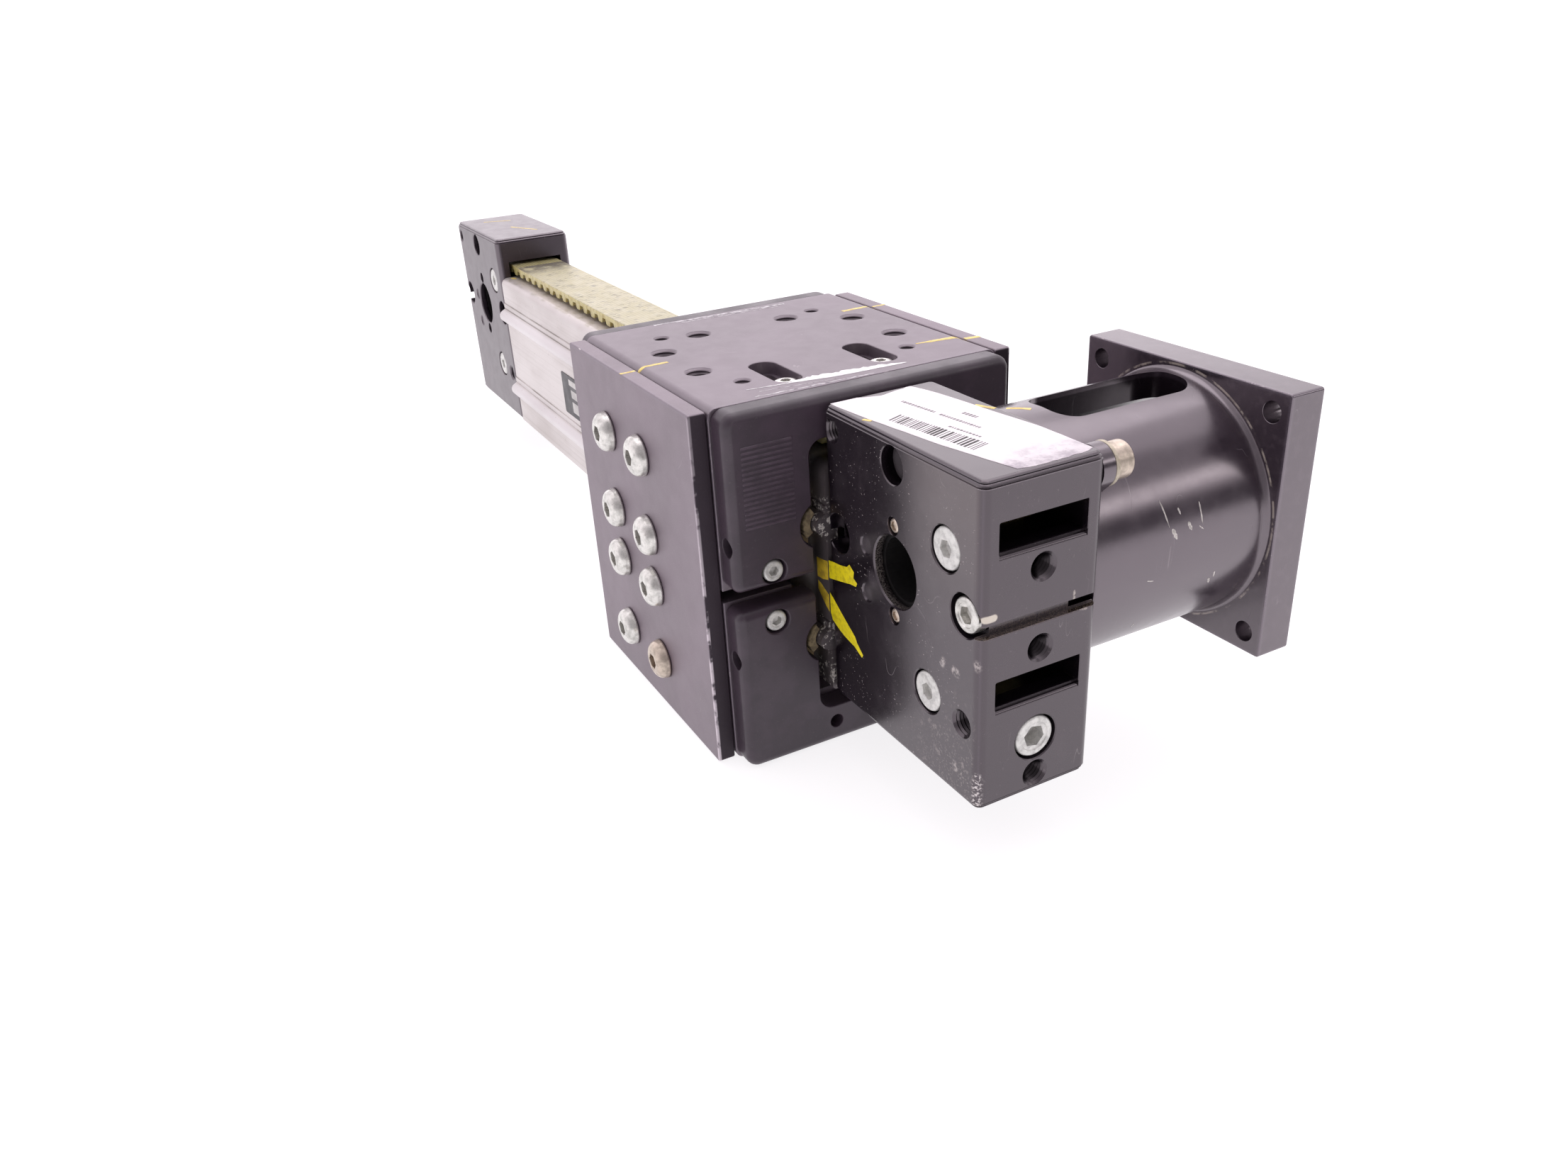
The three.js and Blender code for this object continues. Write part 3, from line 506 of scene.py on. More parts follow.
    # speckled wall of the shaft opening
    ring = M.math("MULTIPLY", M.step(M.vec("LENGTH", M.vec("MULTIPLY", M.vec("SUBTRACT", M.P, (BX, 0, BZ)), (1, 0, 1))), 10.9, 11.5, 1.0, 0.0), M.step(y, 0.3, 0.6))
    col = M.mix(M.math("MULTIPLY", ring, 0.6), col, M.mix(M.step(M.noise(0.55, 3, 0.7, seed=63), 0.42, 0.6), lin(52, 46, 46), lin(150, 142, 136)))
    # rub patches beside the opening
    for a in ((23.2, 0, 62.0), (23.4, 0, 46.4), (26.5, 0, 52.0)):
        col = M.mix(M.math("MULTIPLY", M.capsule(a, (a[0], 0, a[2] + 0.5), 2.4, 1.6), 0.22), col, lin(120, 112, 118))
    # painted highlight: a bright streak where the notch meets the cross screw, standing in for the lit side of the
    # screw seen through the notch
    bar = M.math("MULTIPLY", M.capsule((HL, 0.6, 61.2), (HL, 4.4, 61.3), 1.05, 0.25), M.step(M.noise(1.6, 2, 0.5, seed=66), 0.2, 0.35))
    col = M.mix(bar, col, lin(214, 206, 190))
    # painted shade: holes, slots and the shaft opening, past their first two millimetres or so, are painted nearly
    # black with a weak reflection
    inside = depth_mask(M, 0.0)
    inside = M.math("MAXIMUM", inside, bore_mask(M, BX))
    col = M.mix(M.math("MULTIPLY", inside, 0.8), col, lin(12, 9, 13))
    M.level = M.mixf(inside, 0.5, 0.16)
    r = M.math("ADD", r, M.math("MULTIPLY", onend, 0.04))
    return col, r


def idler_marks(M, col, r):
    # painted shade: holes, slots and the shaft opening are painted nearly black with a weak reflection; the inner end
    # face is given a weaker reflection too
    inside = M.math("MAXIMUM", depth_mask(M, IDLER), bore_mask(M, IDLER + BX))
    col = M.mix(M.math("MULTIPLY", inside, 0.8), col, lin(12, 9, 13))
    face = M.step(M.xyz()[0], IDLER + HL - 0.5, IDLER + HL - 0.2)
    M.level = M.mixf(M.math("MAXIMUM", inside, M.math("MULTIPLY", face, 0.75)), 0.5, 0.16)
    return col, r


def depth_mask(M, x0):
    """1 inside holes and slots, 0 on the block's skin: where shade is painted in"""
    x, y, z = M.xyz()
    ds = [M.math("SUBTRACT", x, x0 + 0.0), M.math("SUBTRACT", x0 + HL, x), y, M.math("SUBTRACT", HW, y), z, M.math("SUBTRACT", HH, z)]
    d = ds[0]
    for q in ds[1:]:
        d = M.math("MINIMUM", d, q)
    groove = M.math("MULTIPLY", M.step(z, 54.6, 55.0), M.step(z, 59.2, 59.6, 1.0, 0.0))
    return M.math("MULTIPLY", M.step(d, 1.4, 2.8), M.math("SUBTRACT", 1.0, M.math("MULTIPLY", groove, 0.5)))


# 1 inside the shaft opening past its first 3 mm: where shade is painted in
def bore_mask(M, bx):
    x, y, z = M.xyz()
    d = M.vec("LENGTH", M.vec("MULTIPLY", M.vec("SUBTRACT", M.P, (bx, 0, BZ)), (1, 0, 1)))
    return M.math("MULTIPLY", M.step(d, 11.6, 12.0, 1.0, 0.0), M.step(y, 2.6, 3.4))


def adapter_marks(M, col, r):
    x, y, z = M.xyz()
    q = M.math("MULTIPLY", M.step(y, 102.0, 105.0), M.step(M.noise(3, 3, 0.6, seed=71), 0.5, 0.65))
    col = M.mix(M.math("MULTIPLY", q, 0.12), col, lin(110, 100, 106))
    streak = M.step(M.noise(9, 3, 0.6, stretch=(0.5, 4.0, 0.5), seed=73), 0.45, 0.7)
    col = M.mix(M.math("MULTIPLY", streak, 0.05), col, lin(100, 90, 92))
    # worn line around the foot of the flange
    d = M.vec("LENGTH", M.vec("MULTIPLY", M.vec("SUBTRACT", M.P, (38.5, 0, 59.5)), (1, 0, 1)))
    ringy = M.math("MULTIPLY", M.step(M.math("ABSOLUTE", M.math("SUBTRACT", d, 41.4)), 0.18, 0.5, 1.0, 0.0), M.step(y, 104.4, 105.6))
    ringy = M.math("MULTIPLY", M.math("MULTIPLY", ringy, M.step(y, 107.5, 108.5, 1.0, 0.0)), M.step(M.noise(5, 3, 0.6, seed=75), 0.42, 0.58))
    col = M.mix(M.math("MULTIPLY", ringy, 0.8), col, lin(170, 160, 150))
    # painted shade: the inside of the tube and of its flange is painted nearly black with a weak reflection
    inn = M.math("MULTIPLY", M.step(d, 37.4, 38.0, 1.0, 0.0), M.math("MULTIPLY", M.step(y, 42.0, 44.0), M.step(y, 118.2, 118.6, 1.0, 0.0)))
    M.level = M.mixf(inn, 0.5, 0.14)
    col = M.mix(M.math("MULTIPLY", inn, 0.75), col, lin(16, 12, 16))
    return col, r


def plate_marks(M, col, r):
    x, y, z = M.xyz()
    col = M.mix(M.step(M.noise(0.45, 2, 0.5, seed=81), 0.5, 0.75, 0.0, 0.12), col, lin(150, 136, 150))
    # painted shade: the plate's front end face is painted nearly black with a weak reflection
    rim = M.step(x, -11.75, -11.55)
    M.level = M.mixf(rim, 0.5, 0.08)
    col = M.mix(M.math("MULTIPLY", rim, 0.8), col, lin(26, 20, 28))
    ln = M.math("MULTIPLY", M.step(x, -12.3, -12.0), M.step(M.math("ABSOLUTE", M.math("SUBTRACT", y, 20.0)), 57.9, 58.3))
    gate = M.step(M.noise(7, 3, 0.6, seed=83), 0.40, 0.52)
    ln = M.math("MULTIPLY", M.math("MULTIPLY", ln, gate), M.step(z, 20.0, 90.0, 1.0, 0.35))
    col = M.mix(ln, col, lin(206, 196, 204))
    return col, r


MAT = {}
MAT["drive"] = black_metal("black_anodised_drive", (0, 0, 0), (HL, HW, HH), base=(15, 10, 16), rough=0.19, wear=0.8, dirt=0.3, seed=1.3, extra=drive_marks, ior=1.95)
MAT["idler"] = black_metal("black_anodised_idler", (IDLER, 0, 0), (IDLER + HL, HW, HH), base=(30, 23, 31), rough=0.28, wear=0.7, dirt=0.2, seed=5.1, extra=idler_marks, ior=2.2)
MAT["cart"] = black_metal("black_anodised_cart", (-117, -32.7, -22.1), (-11, 72.5, 101.7), base=(60, 51, 60), rough=0.40, wear=0.35, dirt=0.2, seed=7.7, ior=2.4)
MAT["plate"] = black_metal("black_anodised_plates", (-116.7, -39.0, -21.4), (-11.5, 78.8, 101.0), base=(76, 65, 74), rough=0.44, wear=1.0, dirt=0.15, seed=9.2, extra=plate_marks, ior=2.4)
MAT["adapter"] = black_metal("black_anodised_adapter", (-3.9, 106.0, 17.1), (80.9, 118.8, 101.9), base=(30, 23, 31), rough=0.2, wear=0.7, dirt=0.12, seed=11.4, extra=adapter_marks, ior=2.3)
MAT["zinc"] = bright_metal("zinc_plate", (224, 222, 218), 0.24, 0.9, seed=2.0, grime=0.55)
MAT["zinc_white"] = bright_metal("zinc_plate_dull", (226, 225, 222), 0.42, 0.55, seed=3.0, grime=0.4)
MAT["stainless"] = bright_metal("stainless_warm", (206, 192, 178), 0.28, 0.95, seed=4.0, grime=0.4)
MAT["yellow_zinc"] = bright_metal("yellow_zinc_socket", (206, 196, 132), 0.35, 0.8, seed=5.0, grime=0.4, warm=(110, 100, 60))
MAT["washer"] = bright_metal("washer_dirty", (196, 186, 168), 0.45, 0.5, seed=8.0, grime=0.9, warm=(140, 122, 92))
def bored(name, base, rough, metallic, seed, r_dark):
    """Machined metal with painted shade: near the shaft axes it is painted nearly black and barely reflective, standing
    in for the dark inside of the housing
    """
    m = bright_metal(name, base, rough, metallic, seed=seed, grime=0.3)
    M = Mat.__new__(Mat)
    M.m, M.t, M._xyz = m, m.node_tree, None
    M.bsdf = next(n for n in m.node_tree.nodes if n.type == "BSDF_PRINCIPLED")
    M.P = next(n for n in m.node_tree.nodes if n.type == "MAPPING").outputs[0]
    # painted shade within r_dark of the shaft axis of either housing
    d = [M.vec("LENGTH", M.vec("MULTIPLY", M.vec("SUBTRACT", M.P, (bx, 0, BZ)), (1, 0, 1))) for bx in (BX, BX + IDLER)]
    near = M.step(M.math("MINIMUM", d[0], d[1]), r_dark - 0.3, r_dark + 0.3, 1.0, 0.0)
    old = M.bsdf.inputs["Base Color"].links[0].from_socket
    M.put(M.bsdf.inputs["Base Color"], M.mix(M.math("MULTIPLY", near, 0.97), old, lin(10, 8, 10)))
    M.put(M.bsdf.inputs["Metallic"], M.mixf(near, metallic, 0.0))
    M.put(M.bsdf.inputs["Specular IOR Level"], M.mixf(near, 0.5, 0.1))
    return m


MAT["pulley"] = bored("machined_aluminium", (176, 174, 172), 0.32, 0.9, 9.0, 22.0)
MAT["bearing"] = bored("bearing_steel", (168, 166, 164), 0.25, 0.95, 6.0, 30.0)
MAT["clamp"] = bright_metal("clear_anodised_clamp", (190, 186, 182), 0.38, 0.7, seed=10.0, grime=0.3)
MAT["polymer"] = plain("slide_polymer", (150, 128, 92), 0.5, seed=12.0)
MAT["cap"] = plain("cap_plastic", (66, 54, 65), 0.4, seed=13.0, var=0.8, grain=0.5, bump_mm=0.05, speck=(72, 65, 70), patch=16, patch_col=(76, 64, 74), patch_amt=0.35)
MAT["cap_rib"] = plain("cap_plastic_ribs", (80, 67, 79), 0.42, seed=27.0, var=0.8, grain=0.5, bump_mm=0.04)
MAT["felt"] = plain("wiper_felt", (128, 114, 88), 0.9, seed=14.0, var=0.62, grain=0.3, bump_mm=0.2, speck=(90, 78, 62), patch=2.2, patch_col=(104, 90, 74), patch_amt=0.8)
MAT["label"] = plain("label_film", (240, 239, 240), 0.45, seed=15.0, var=0.95, grain=0.4, bump_mm=0.03, patch=3.0, patch_col=(206, 203, 206), patch_amt=0.5)
MAT["residue"] = plain("label_residue", (214, 210, 214), 0.6, seed=16.0, var=0.7, grain=0.6, bump_mm=0.06, patch=2.2, patch_col=(120, 112, 122), patch_amt=0.95)
MAT["ink"] = plain("label_ink", (30, 24, 26), 0.5, seed=17.0, var=0.8, grain=0.3, bump_mm=0.01)
MAT["ink_grey"] = plain("label_ink_grey", (120, 112, 118), 0.5, seed=18.0, var=0.9, grain=0.3, bump_mm=0.01)
MAT["paint"] = plain("paint_pen_yellow", (240, 214, 120), 0.45, seed=19.0, var=0.9, grain=0.7, bump_mm=0.05, patch=2.5, patch_col=(196, 160, 70), patch_amt=0.5)
MAT["paint_bright"] = plain("paint_pen_bright", (240, 222, 30), 0.4, seed=20.0, var=0.88, grain=0.7, bump_mm=0.05, patch=2.0, patch_col=(196, 176, 30), patch_amt=0.6)
MAT["paint_old"] = plain("paint_pen_worn", (206, 176, 52), 0.45, seed=26.0, var=0.8, grain=0.7, bump_mm=0.05, patch=3.0, patch_col=(150, 120, 48), patch_amt=0.6)
MAT["scuff"] = plain("bare_scuff", (214, 208, 204), 0.4, seed=21.0, var=0.7, grain=0.4, bump_mm=0.03, metallic=0.3, patch=0.8)
MAT["plate_id"] = plain("name_plate_dark", (58, 54, 60), 0.4, seed=22.0, var=0.85, grain=0.4, bump_mm=0.01)
MAT["plate_id_light"] = plain("name_plate_light", (196, 192, 190), 0.4, seed=23.0, var=0.9, grain=0.4, bump_mm=0.01)
MAT["cutmetal"] = bright_metal("cut_metal", (216, 210, 204), 0.35, 0.7, seed=24.0, grime=0.4)


def beam_material():
    M = Mat("clear_anodised_beam")
    x, y, z = M.xyz()
    lines = M.noise(0.9, 3, 0.6, stretch=(220, 1, 1), seed=1)
    mid = M.noise(24, 3, 0.55, stretch=(2.5, 1, 1), seed=2)
    col = M.mix(M.step(mid, 0.35, 0.7), lin(212, 205, 204), lin(196, 188, 186))
    col = M.mix(M.step(lines, 0.5, 0.8, 0.0, 0.35), col, lin(168, 160, 154))
    # a lighter white-lilac band over each rib, and thin darker brownish lines along the corners beside them
    tr = []
    gr = []
    for zr in (60.2, 19.0):
        tr.append(M.step(M.math("ABSOLUTE", M.math("SUBTRACT", z, zr)), 3.0, 3.7, 1.0, 0.0))
        gr.append(M.step(M.math("ABSOLUTE", M.math("SUBTRACT", z, zr + 4.0)), 0.15, 0.6, 1.0, 0.0))
        gr.append(M.step(M.math("ABSOLUTE", M.math("SUBTRACT", z, zr + 6.7)), 0.12, 0.45, 1.0, 0.0))
        gr.append(M.step(M.math("ABSOLUTE", M.math("SUBTRACT", z, zr - 4.0)), 0.15, 0.5, 1.0, 0.0))
    col = M.mix(M.math("MULTIPLY", M.maxi(tr), 0.5), col, lin(224, 220, 224))
    col = M.mix(M.math("MULTIPLY", M.math("MULTIPLY", M.maxi(gr), M.step(M.noise(10, 3, 0.6, stretch=(3, 1, 1), seed=4), 0.3, 0.6)), 0.55), col, lin(112, 102, 92))
    speck = M.step(M.noise(1.1, 2, 0.5, seed=5), 0.7, 0.76, 0.0, 0.5)
    col = M.mix(speck, col, lin(138, 128, 118))
    # belt dust on the top beside the belt
    top = M.math("MULTIPLY", M.step(z, 79.2, 79.8), M.step(M.noise(3.5, 4, 0.6, stretch=(2, 1, 1), seed=6), 0.42, 0.7))
    col = M.mix(M.math("MULTIPLY", top, 0.45), col, lin(150, 142, 118))
    # painted shadow: the last millimetres beside the drive housing are painted dark, with bright nicks at the ribs
    tail = M.step(x, -13.0, -8.0)
    nick = M.step(M.noise(2.2, 4, 0.75, seed=8), 0.54, 0.60)
    zone = M.maxi([M.step(M.math("ABSOLUTE", M.math("SUBTRACT", z, q)), w0, w0 + 1.5, 1.0, 0.0) for q, w0 in ((64.5, 4.0), (57.5, 2.0), (22.5, 3.0), (15.5, 3.0), (4.0, 5.0))])
    shade_col = M.mix(M.math("MULTIPLY", nick, zone), lin(72, 64, 68), lin(226, 220, 214))
    col = M.mix(M.math("MULTIPLY", tail, 0.92), col, shade_col)
    r = M.step(mid, 0.3, 0.7, 0.36, 0.46)
    nrm = M.bump(lines, 0.25, 0.03)
    return M.set(color=col, metallic=0.45, rough=r, normal=nrm)


def belt_material():
    M = Mat("belt_polyurethane")
    x, y, z = M.xyz()
    top = M.step(z, 85.4, 85.95)
    cords = M.math("SINE", M.math("MULTIPLY", y, 2 * math.pi / 1.55))
    base = M.mix(M.step(cords, -0.6, 0.9, 0.0, 0.30), lin(188, 181, 150), lin(158, 150, 112))
    side = M.mix(M.step(M.noise(3, 3, 0.6, seed=1), 0.4, 0.7), lin(206, 196, 142), lin(182, 166, 106))
    col = M.mix(top, side, base)
    # dark dashes rubbed into the running surface
    dash = M.step(M.noise(1.9, 3, 0.6, stretch=(0.55, 2.6, 1), seed=2), 0.56, 0.64)
    dash = M.math("MULTIPLY", dash, M.step(M.noise(14, 2, 0.5, seed=3), 0.36, 0.52))
    col = M.mix(M.math("MULTIPLY", M.math("MULTIPLY", dash, top), 0.85), col, lin(84, 78, 62))
    fine = M.step(M.noise(0.8, 3, 0.6, stretch=(6, 0.5, 1), seed=4), 0.5, 0.75, 0.0, 0.35)
    col = M.mix(M.math("MULTIPLY", fine, top), col, lin(158, 152, 124))
    # greasy smudge near the idler housing, and the darker, still translucent end of the belt beside it
    sm = M.math("MULTIPLY", M.step(x, -336.0, -314.0, 1.0, 0.0), M.step(M.noise(9, 4, 0.6, seed=5), 0.30, 0.5))
    sm = M.math("MULTIPLY", sm, M.step(x, -341.5, -340.5))
    col = M.mix(M.math("MULTIPLY", M.math("MULTIPLY", sm, top), 0.88), col, lin(86, 80, 74))
    end = M.step(x, -341.2, -340.6, 1.0, 0.0)
    col = M.mix(M.math("MULTIPLY", end, 0.6), col, M.mix(M.step(cords, -0.2, 0.5), lin(150, 140, 76), lin(98, 90, 52)))
    grime = M.math("MULTIPLY", M.step(M.noise(2.4, 4, 0.65, seed=6), 0.52, 0.7), M.step(M.math("ABSOLUTE", M.math("SUBTRACT", y, 20.0)), 11.4, 12.3))
    col = M.mix(M.math("MULTIPLY", grime, 0.5), col, lin(140, 124, 74))
    r = M.step(M.noise(5, 3, 0.6, seed=7), 0.3, 0.7, 0.34, 0.5)
    nrm = M.bump(M.math("ADD", M.math("MULTIPLY", cords, 0.10), dash), 0.35, 0.12)
    return M.set(color=col, metallic=0.0, rough=r, normal=nrm, sss=0.25, sss_radius=(1.0, 0.8, 0.35), sss_scale=0.004)


def housing_label_material():
    M = Mat("housing_label_film")
    x, y, z = M.xyz()
    cloud = M.noise(6.5, 4, 0.6, seed=61)
    fine = M.noise(0.8, 3, 0.6, seed=62)
    film = M.math("MULTIPLY", M.step(M.math("ADD", x, M.math("MULTIPLY", cloud, 14.0)), 71.0, 83.0), M.step(y, 9.0, 13.0))
    col = M.mix(M.step(M.noise(4, 3, 0.6, seed=63), 0.4, 0.75), lin(236, 230, 234), lin(226, 219, 224))
    grey = M.mix(M.step(M.math("ADD", M.math("MULTIPLY", cloud, 0.75), M.math("MULTIPLY", fine, 0.25)), 0.42, 0.62), lin(206, 198, 204), lin(164, 154, 164))
    col = M.mix(M.math("MULTIPLY", film, 0.85), col, grey)
    spots = M.math("MULTIPLY", M.step(M.noise(1.7, 3, 0.6, seed=64), 0.64, 0.74), film)
    col = M.mix(M.math("MULTIPLY", spots, 0.6), col, lin(116, 104, 112))
    r = M.step(cloud, 0.3, 0.7, 0.42, 0.56)
    return M.set(color=col, metallic=0.0, rough=r, normal=M.bump(M.math("ADD", M.math("MULTIPLY", fine, 0.4), M.math("MULTIPLY", film, cloud)), 0.4, 0.08))


MAT["housing_label"] = housing_label_material()
MAT["beam"] = beam_material()
MAT["belt"] = belt_material()


# ------------------------------------------------------------------------------------------------ fasteners
def hexagon(af, rot=0.0):
    return [(af / math.sqrt(3) * math.cos(math.radians(60 * i + rot)), af / math.sqrt(3) * math.sin(math.radians(60 * i + rot))) for i in range(6)]


def socket(af, depth, rot=0.0):
    """Hexagon socket cutter with a small lead-in and a drilled bottom"""
    h = hexagon(af, rot)
    big = [(u * 1.6, v * 1.6) for u, v in h]
    lead = [(u * 1.06, v * 1.06) for u, v in h]
    tip = [(u * 0.1, v * 0.1) for u, v in h]
    return loft("z", [(af * 0.55, big), (0.0 - 0.01, lead), (-0.25, h), (-depth, h), (-depth - af * 0.22, tip)])


def low_head(hr, hh, sr, sl, af, rot=0.0, dish=0.0, n=44):
    """Low cylinder head screw with a hexagon socket; top at 0, shank down -Z"""
    prof = [(sr * 0.8, -hh - sl), (sr, -hh - sl + 0.6), (sr, -hh), (hr - 0.25, -hh), (hr, -hh + 0.25), (hr, -0.75), (hr - 0.22, -0.28), (hr - 0.75, 0.0)]
    s = turned("z", 0, 0, prof, n)
    cs = [socket(af, hh * 0.62, rot)]
    if dish:
        cs.append(turned("z", 0, 0, [(af * 0.86, 1.0), (af * 0.72, -dish)], n))
    return cut(s, cs)


def button_head(hr, hh, sr, sl, af, rot=0.0, n=44):
    """Button head screw with a thin round flange; top at 0"""
    prof = [(sr * 0.8, -hh - sl), (sr, -hh - sl + 0.6), (sr, -hh), (hr - 0.3, -hh), (hr, -hh + 0.3), (hr, -hh + 0.75), (hr * 0.975, -hh + 1.15)]
    r0, z0, r1 = hr * 0.975, -hh + 1.15, af * 0.70
    for i in range(1, 9):
        a = math.radians(90 * i / 8)
        prof.append((r1 + (r0 - r1) * math.cos(a), z0 + (0 - z0) * math.sin(a)))
    s = turned("z", 0, 0, prof, n)
    return cut(s, [socket(af, hh * 0.7, rot)])


# ------------------------------------------------------------------------------------------------ housings
def housing(x0, s):
    """s = 1: outer face at high x (drive); s = -1: outer face at low x (idler). Returns the carved block."""
    xo = x0 + (HL if s > 0 else 0.0)
    xi = x0 + (0.0 if s > 0 else HL)
    # block with rounded upright edges; the top and bottom rims carry a fine double step
    rim = [(0.0, 1.95), (0.18, 1.35), (0.5, 0.95), (0.78, 0.92), (0.95, 1.2), (1.12, 0.72), (1.45, 0.38), (1.8, 0.3), (2.05, 0.42), (2.25, 0.0)]
    rings = [(t, rr(x0, x0 + HL, 0, HW, 3.0, 6, i)) for t, i in rim]
    rings += [(HH - t, rr(x0, x0 + HL, 0, HW, 3.0, 6, i)) for t, i in rim[::-1]]
    body = loft("z", rings)
    bx, d = x0 + BX, s
    c = [
        turned("y", bx, BZ, [(28.2, 6.6), (28.2, HW - 6.6)], 64),
        turned("y", bx, BZ, [(16.3, 3.0), (16.3, HW - 3.0)], 56),
        turned("y", bx, BZ, [(12.4, -1), (11.1, 0.5), (11.1, HW - 0.5), (12.4, HW + 1)], 56),
        box(min(xi - d, bx), max(xi - d, bx), 5.6, 34.6, 77.1, 87.9),
        box(min(xi - d, bx), max(xi - d, bx), 5.6, 34.6, 30.4, 40.9),
    ]
    for zb, zt in ((77.2, 87.9), (30.4, 40.9)):
        # outer belt slots: straight walls, a short floor behind a stepped lower lip, then the open pulley space
        c.append(slot_cut("x", 5.6, 34.6, zb + 1.75, zt, 0.35, xo, bx, ch=0.22, n=3))
        c.append(box(min(xo - d * 6.6, bx), max(xo - d * 6.6, bx), 5.6, 34.6, zb - 0.1, zb + 4))
        pts = [(xo + d, zb - 0.9), (xo, zb), (xo - d * 0.3, zb + 0.62), (xo - d * 0.75, zb + 0.98), (xo - d * 1.55, zb + 0.98), (xo - d * 1.75, zb + 1.5), (xo - d * 2.2, zb + 1.78), (xo - d * 2.2, zb + 3), (xo + d, zb + 3)]
        c.append(prism("y", pts, 5.6, 34.6))
    c += [
        tapped("y", x0 + 5.4, 92.8, 0, 20, 3.3, 1.0),
        tapped("y", x0 + 72.2, 25.9, 0, 20, 3.9, 1.2),
        tapped("y", x0 + 72.2, 92.8, HW, 22, 3.3, 1.0),
        tapped("y", x0 + 5.4, 25.9, HW, 22, 3.3, 1.0),
        tapped("y", x0 + 72.2, 25.9, HW, 26, 3.3, 1.0),
        tapped("y", x0 + 5.4, 92.8, HW, 26, 3.3, 1.0),
        turned("y", x0 + 38.1, 92.0, [(6.8, -1), (5.7, 0.35), (5.6, 4.2), (3.2, 5.4), (3.0, 5.8)], 44),
        turned("y", x0 + 38.3, 73.7, [(3.5, -1), (2.75, 0.2), (2.75, 1.8)], 32),
        turned("y", x0 + 38.3, 44.9, [(3.5, -1), (2.75, 0.2), (2.75, 1.8)], 32),
        turned("y", x0 + 38.3, 73.7, [(1.8, 1.0), (1.8, 2.6)], 20),
        turned("y", x0 + 38.3, 44.9, [(1.8, 1.0), (1.8, 2.6)], 20),
        turned("y", x0 + 23.2, 62.0, [(3.9, -1), (3.0, 0.15), (2.7, 0.5)], 32),
        turned("y", x0 + 23.4, 46.4, [(3.9, -1), (3.0, 0.15), (2.7, 0.5)], 32),
        hole("y", x0 + 63.9, 76.3, 0, 3.7, 6.75, 48, 0.35),
        turned("y", x0 + 63.9, 76.3, [(4.3, 3.0), (4.3, 6.0)], 32),
        hole("y", x0 + 55.1, 27.6, 0, 3.7, 6.75, 48, 0.35),
        turned("y", x0 + 55.1, 27.6, [(4.3, 3.0), (4.3, 18.0)], 32),
    ]
    for xx in (x0 + 7.2, x0 + 72.8):
        c += [turned("y", xx, 60.1, [(4.3, -1), (4.3, HW + 1)], 32), hole("y", xx, 60.1, 0, 4.8, 6.4, 48, 0.3), hole("y", xx, 60.1, HW, 31.5, 6.4, 48, 0.3)]
    for face, dd in ((xo, d), (xi, -d)):
        c.append(prism("y", [(face + dd, 54.3), (face - dd * 0.3, 55.2), (face - dd * 2.6, 55.2), (face - dd * 2.6, 59.0), (face - dd * 0.3, 59.0), (face + dd, 59.9)], -1, HW + 1))
    c += [
        tapped("x", 20.3, 72.0, xo, xo - d * 9, 3.9, 1.2),
        tapped("x", 20.3, 47.5, xo, xo - d * 9, 3.9, 1.2),
        tapped("x", 20.3, 6.4, xo, xo - d * 14, 3.9, 1.2),
        hole("x", 20.0, 18.6, xo, xo - d * 9, 7.2, 48, 0.3),
        turned("x", 20.0, 18.6, [(4.4, min(xi - d, xo - d * 8.5)), (4.4, max(xi - d, xo - d * 8.5))], 32),
    ]
    return cut(body, c)


piece("drive_housing_block", housing(0.0, 1), "base", MAT["drive"], ["drive_housing"], angle=32)
piece("idler_housing_block", housing(IDLER, -1), "base", MAT["idler"], ["idler_housing"], angle=32)

for nm, x0 in (("drive", 0.0), ("idler", IDLER)):
    piece(nm + "_side_screw_upper_zinc", onto(low_head(6.2, 3.2, 3.9, 2.2, 4.6, 12), (63.9 + x0, 0.2, 76.3), (0, -1, 0)), "base", MAT["zinc_white"], [nm + "_side_screw_upper"])
    piece(nm + "_side_screw_lower_zinc", onto(low_head(6.2, 3.2, 3.9, 14, 4.6, 40), (55.1 + x0, 0.2, 27.6), (0, -1, 0)), "base", MAT["zinc_white"], [nm + "_side_screw_lower"])
piece("drive_cross_screw_zinc", onto(low_head(5.3, 4.1, 3.9, 26, 4.8, 20, 0.25), (72.8, 0.4, 60.1), (0, -1, 0)), "base", MAT["zinc"], ["drive_cross_screw"])
piece("drive_end_bolt_zinc", onto(low_head(6.5, 8.2, 4.0, 84, 6.2, 18, 0.3), (HL - 0.4, 20, 18.6), (1, 0, 0)), "base", MAT["zinc_white"], ["drive_end_bolt"])
piece("idler_end_bolt_zinc", onto(low_head(6.5, 8.2, 4.0, 84, 6.2, 5, 0.3), (IDLER + 0.4, 20, 18.6), (-1, 0, 0)), "base", MAT["zinc_white"], ["idler_end_bolt"])
for lv, zz in (("upper", 73.7), ("lower", 44.9)):
    piece(f"drive_bearing_screw_{lv}_zinc", onto(low_head(2.35, 1.3, 1.4, 0.8, 2.5, 15, 0, 28), (38.3, 0.35, zz), (0, -1, 0)), "base", MAT["stainless"], ["drive_bearing_screw_" + lv])

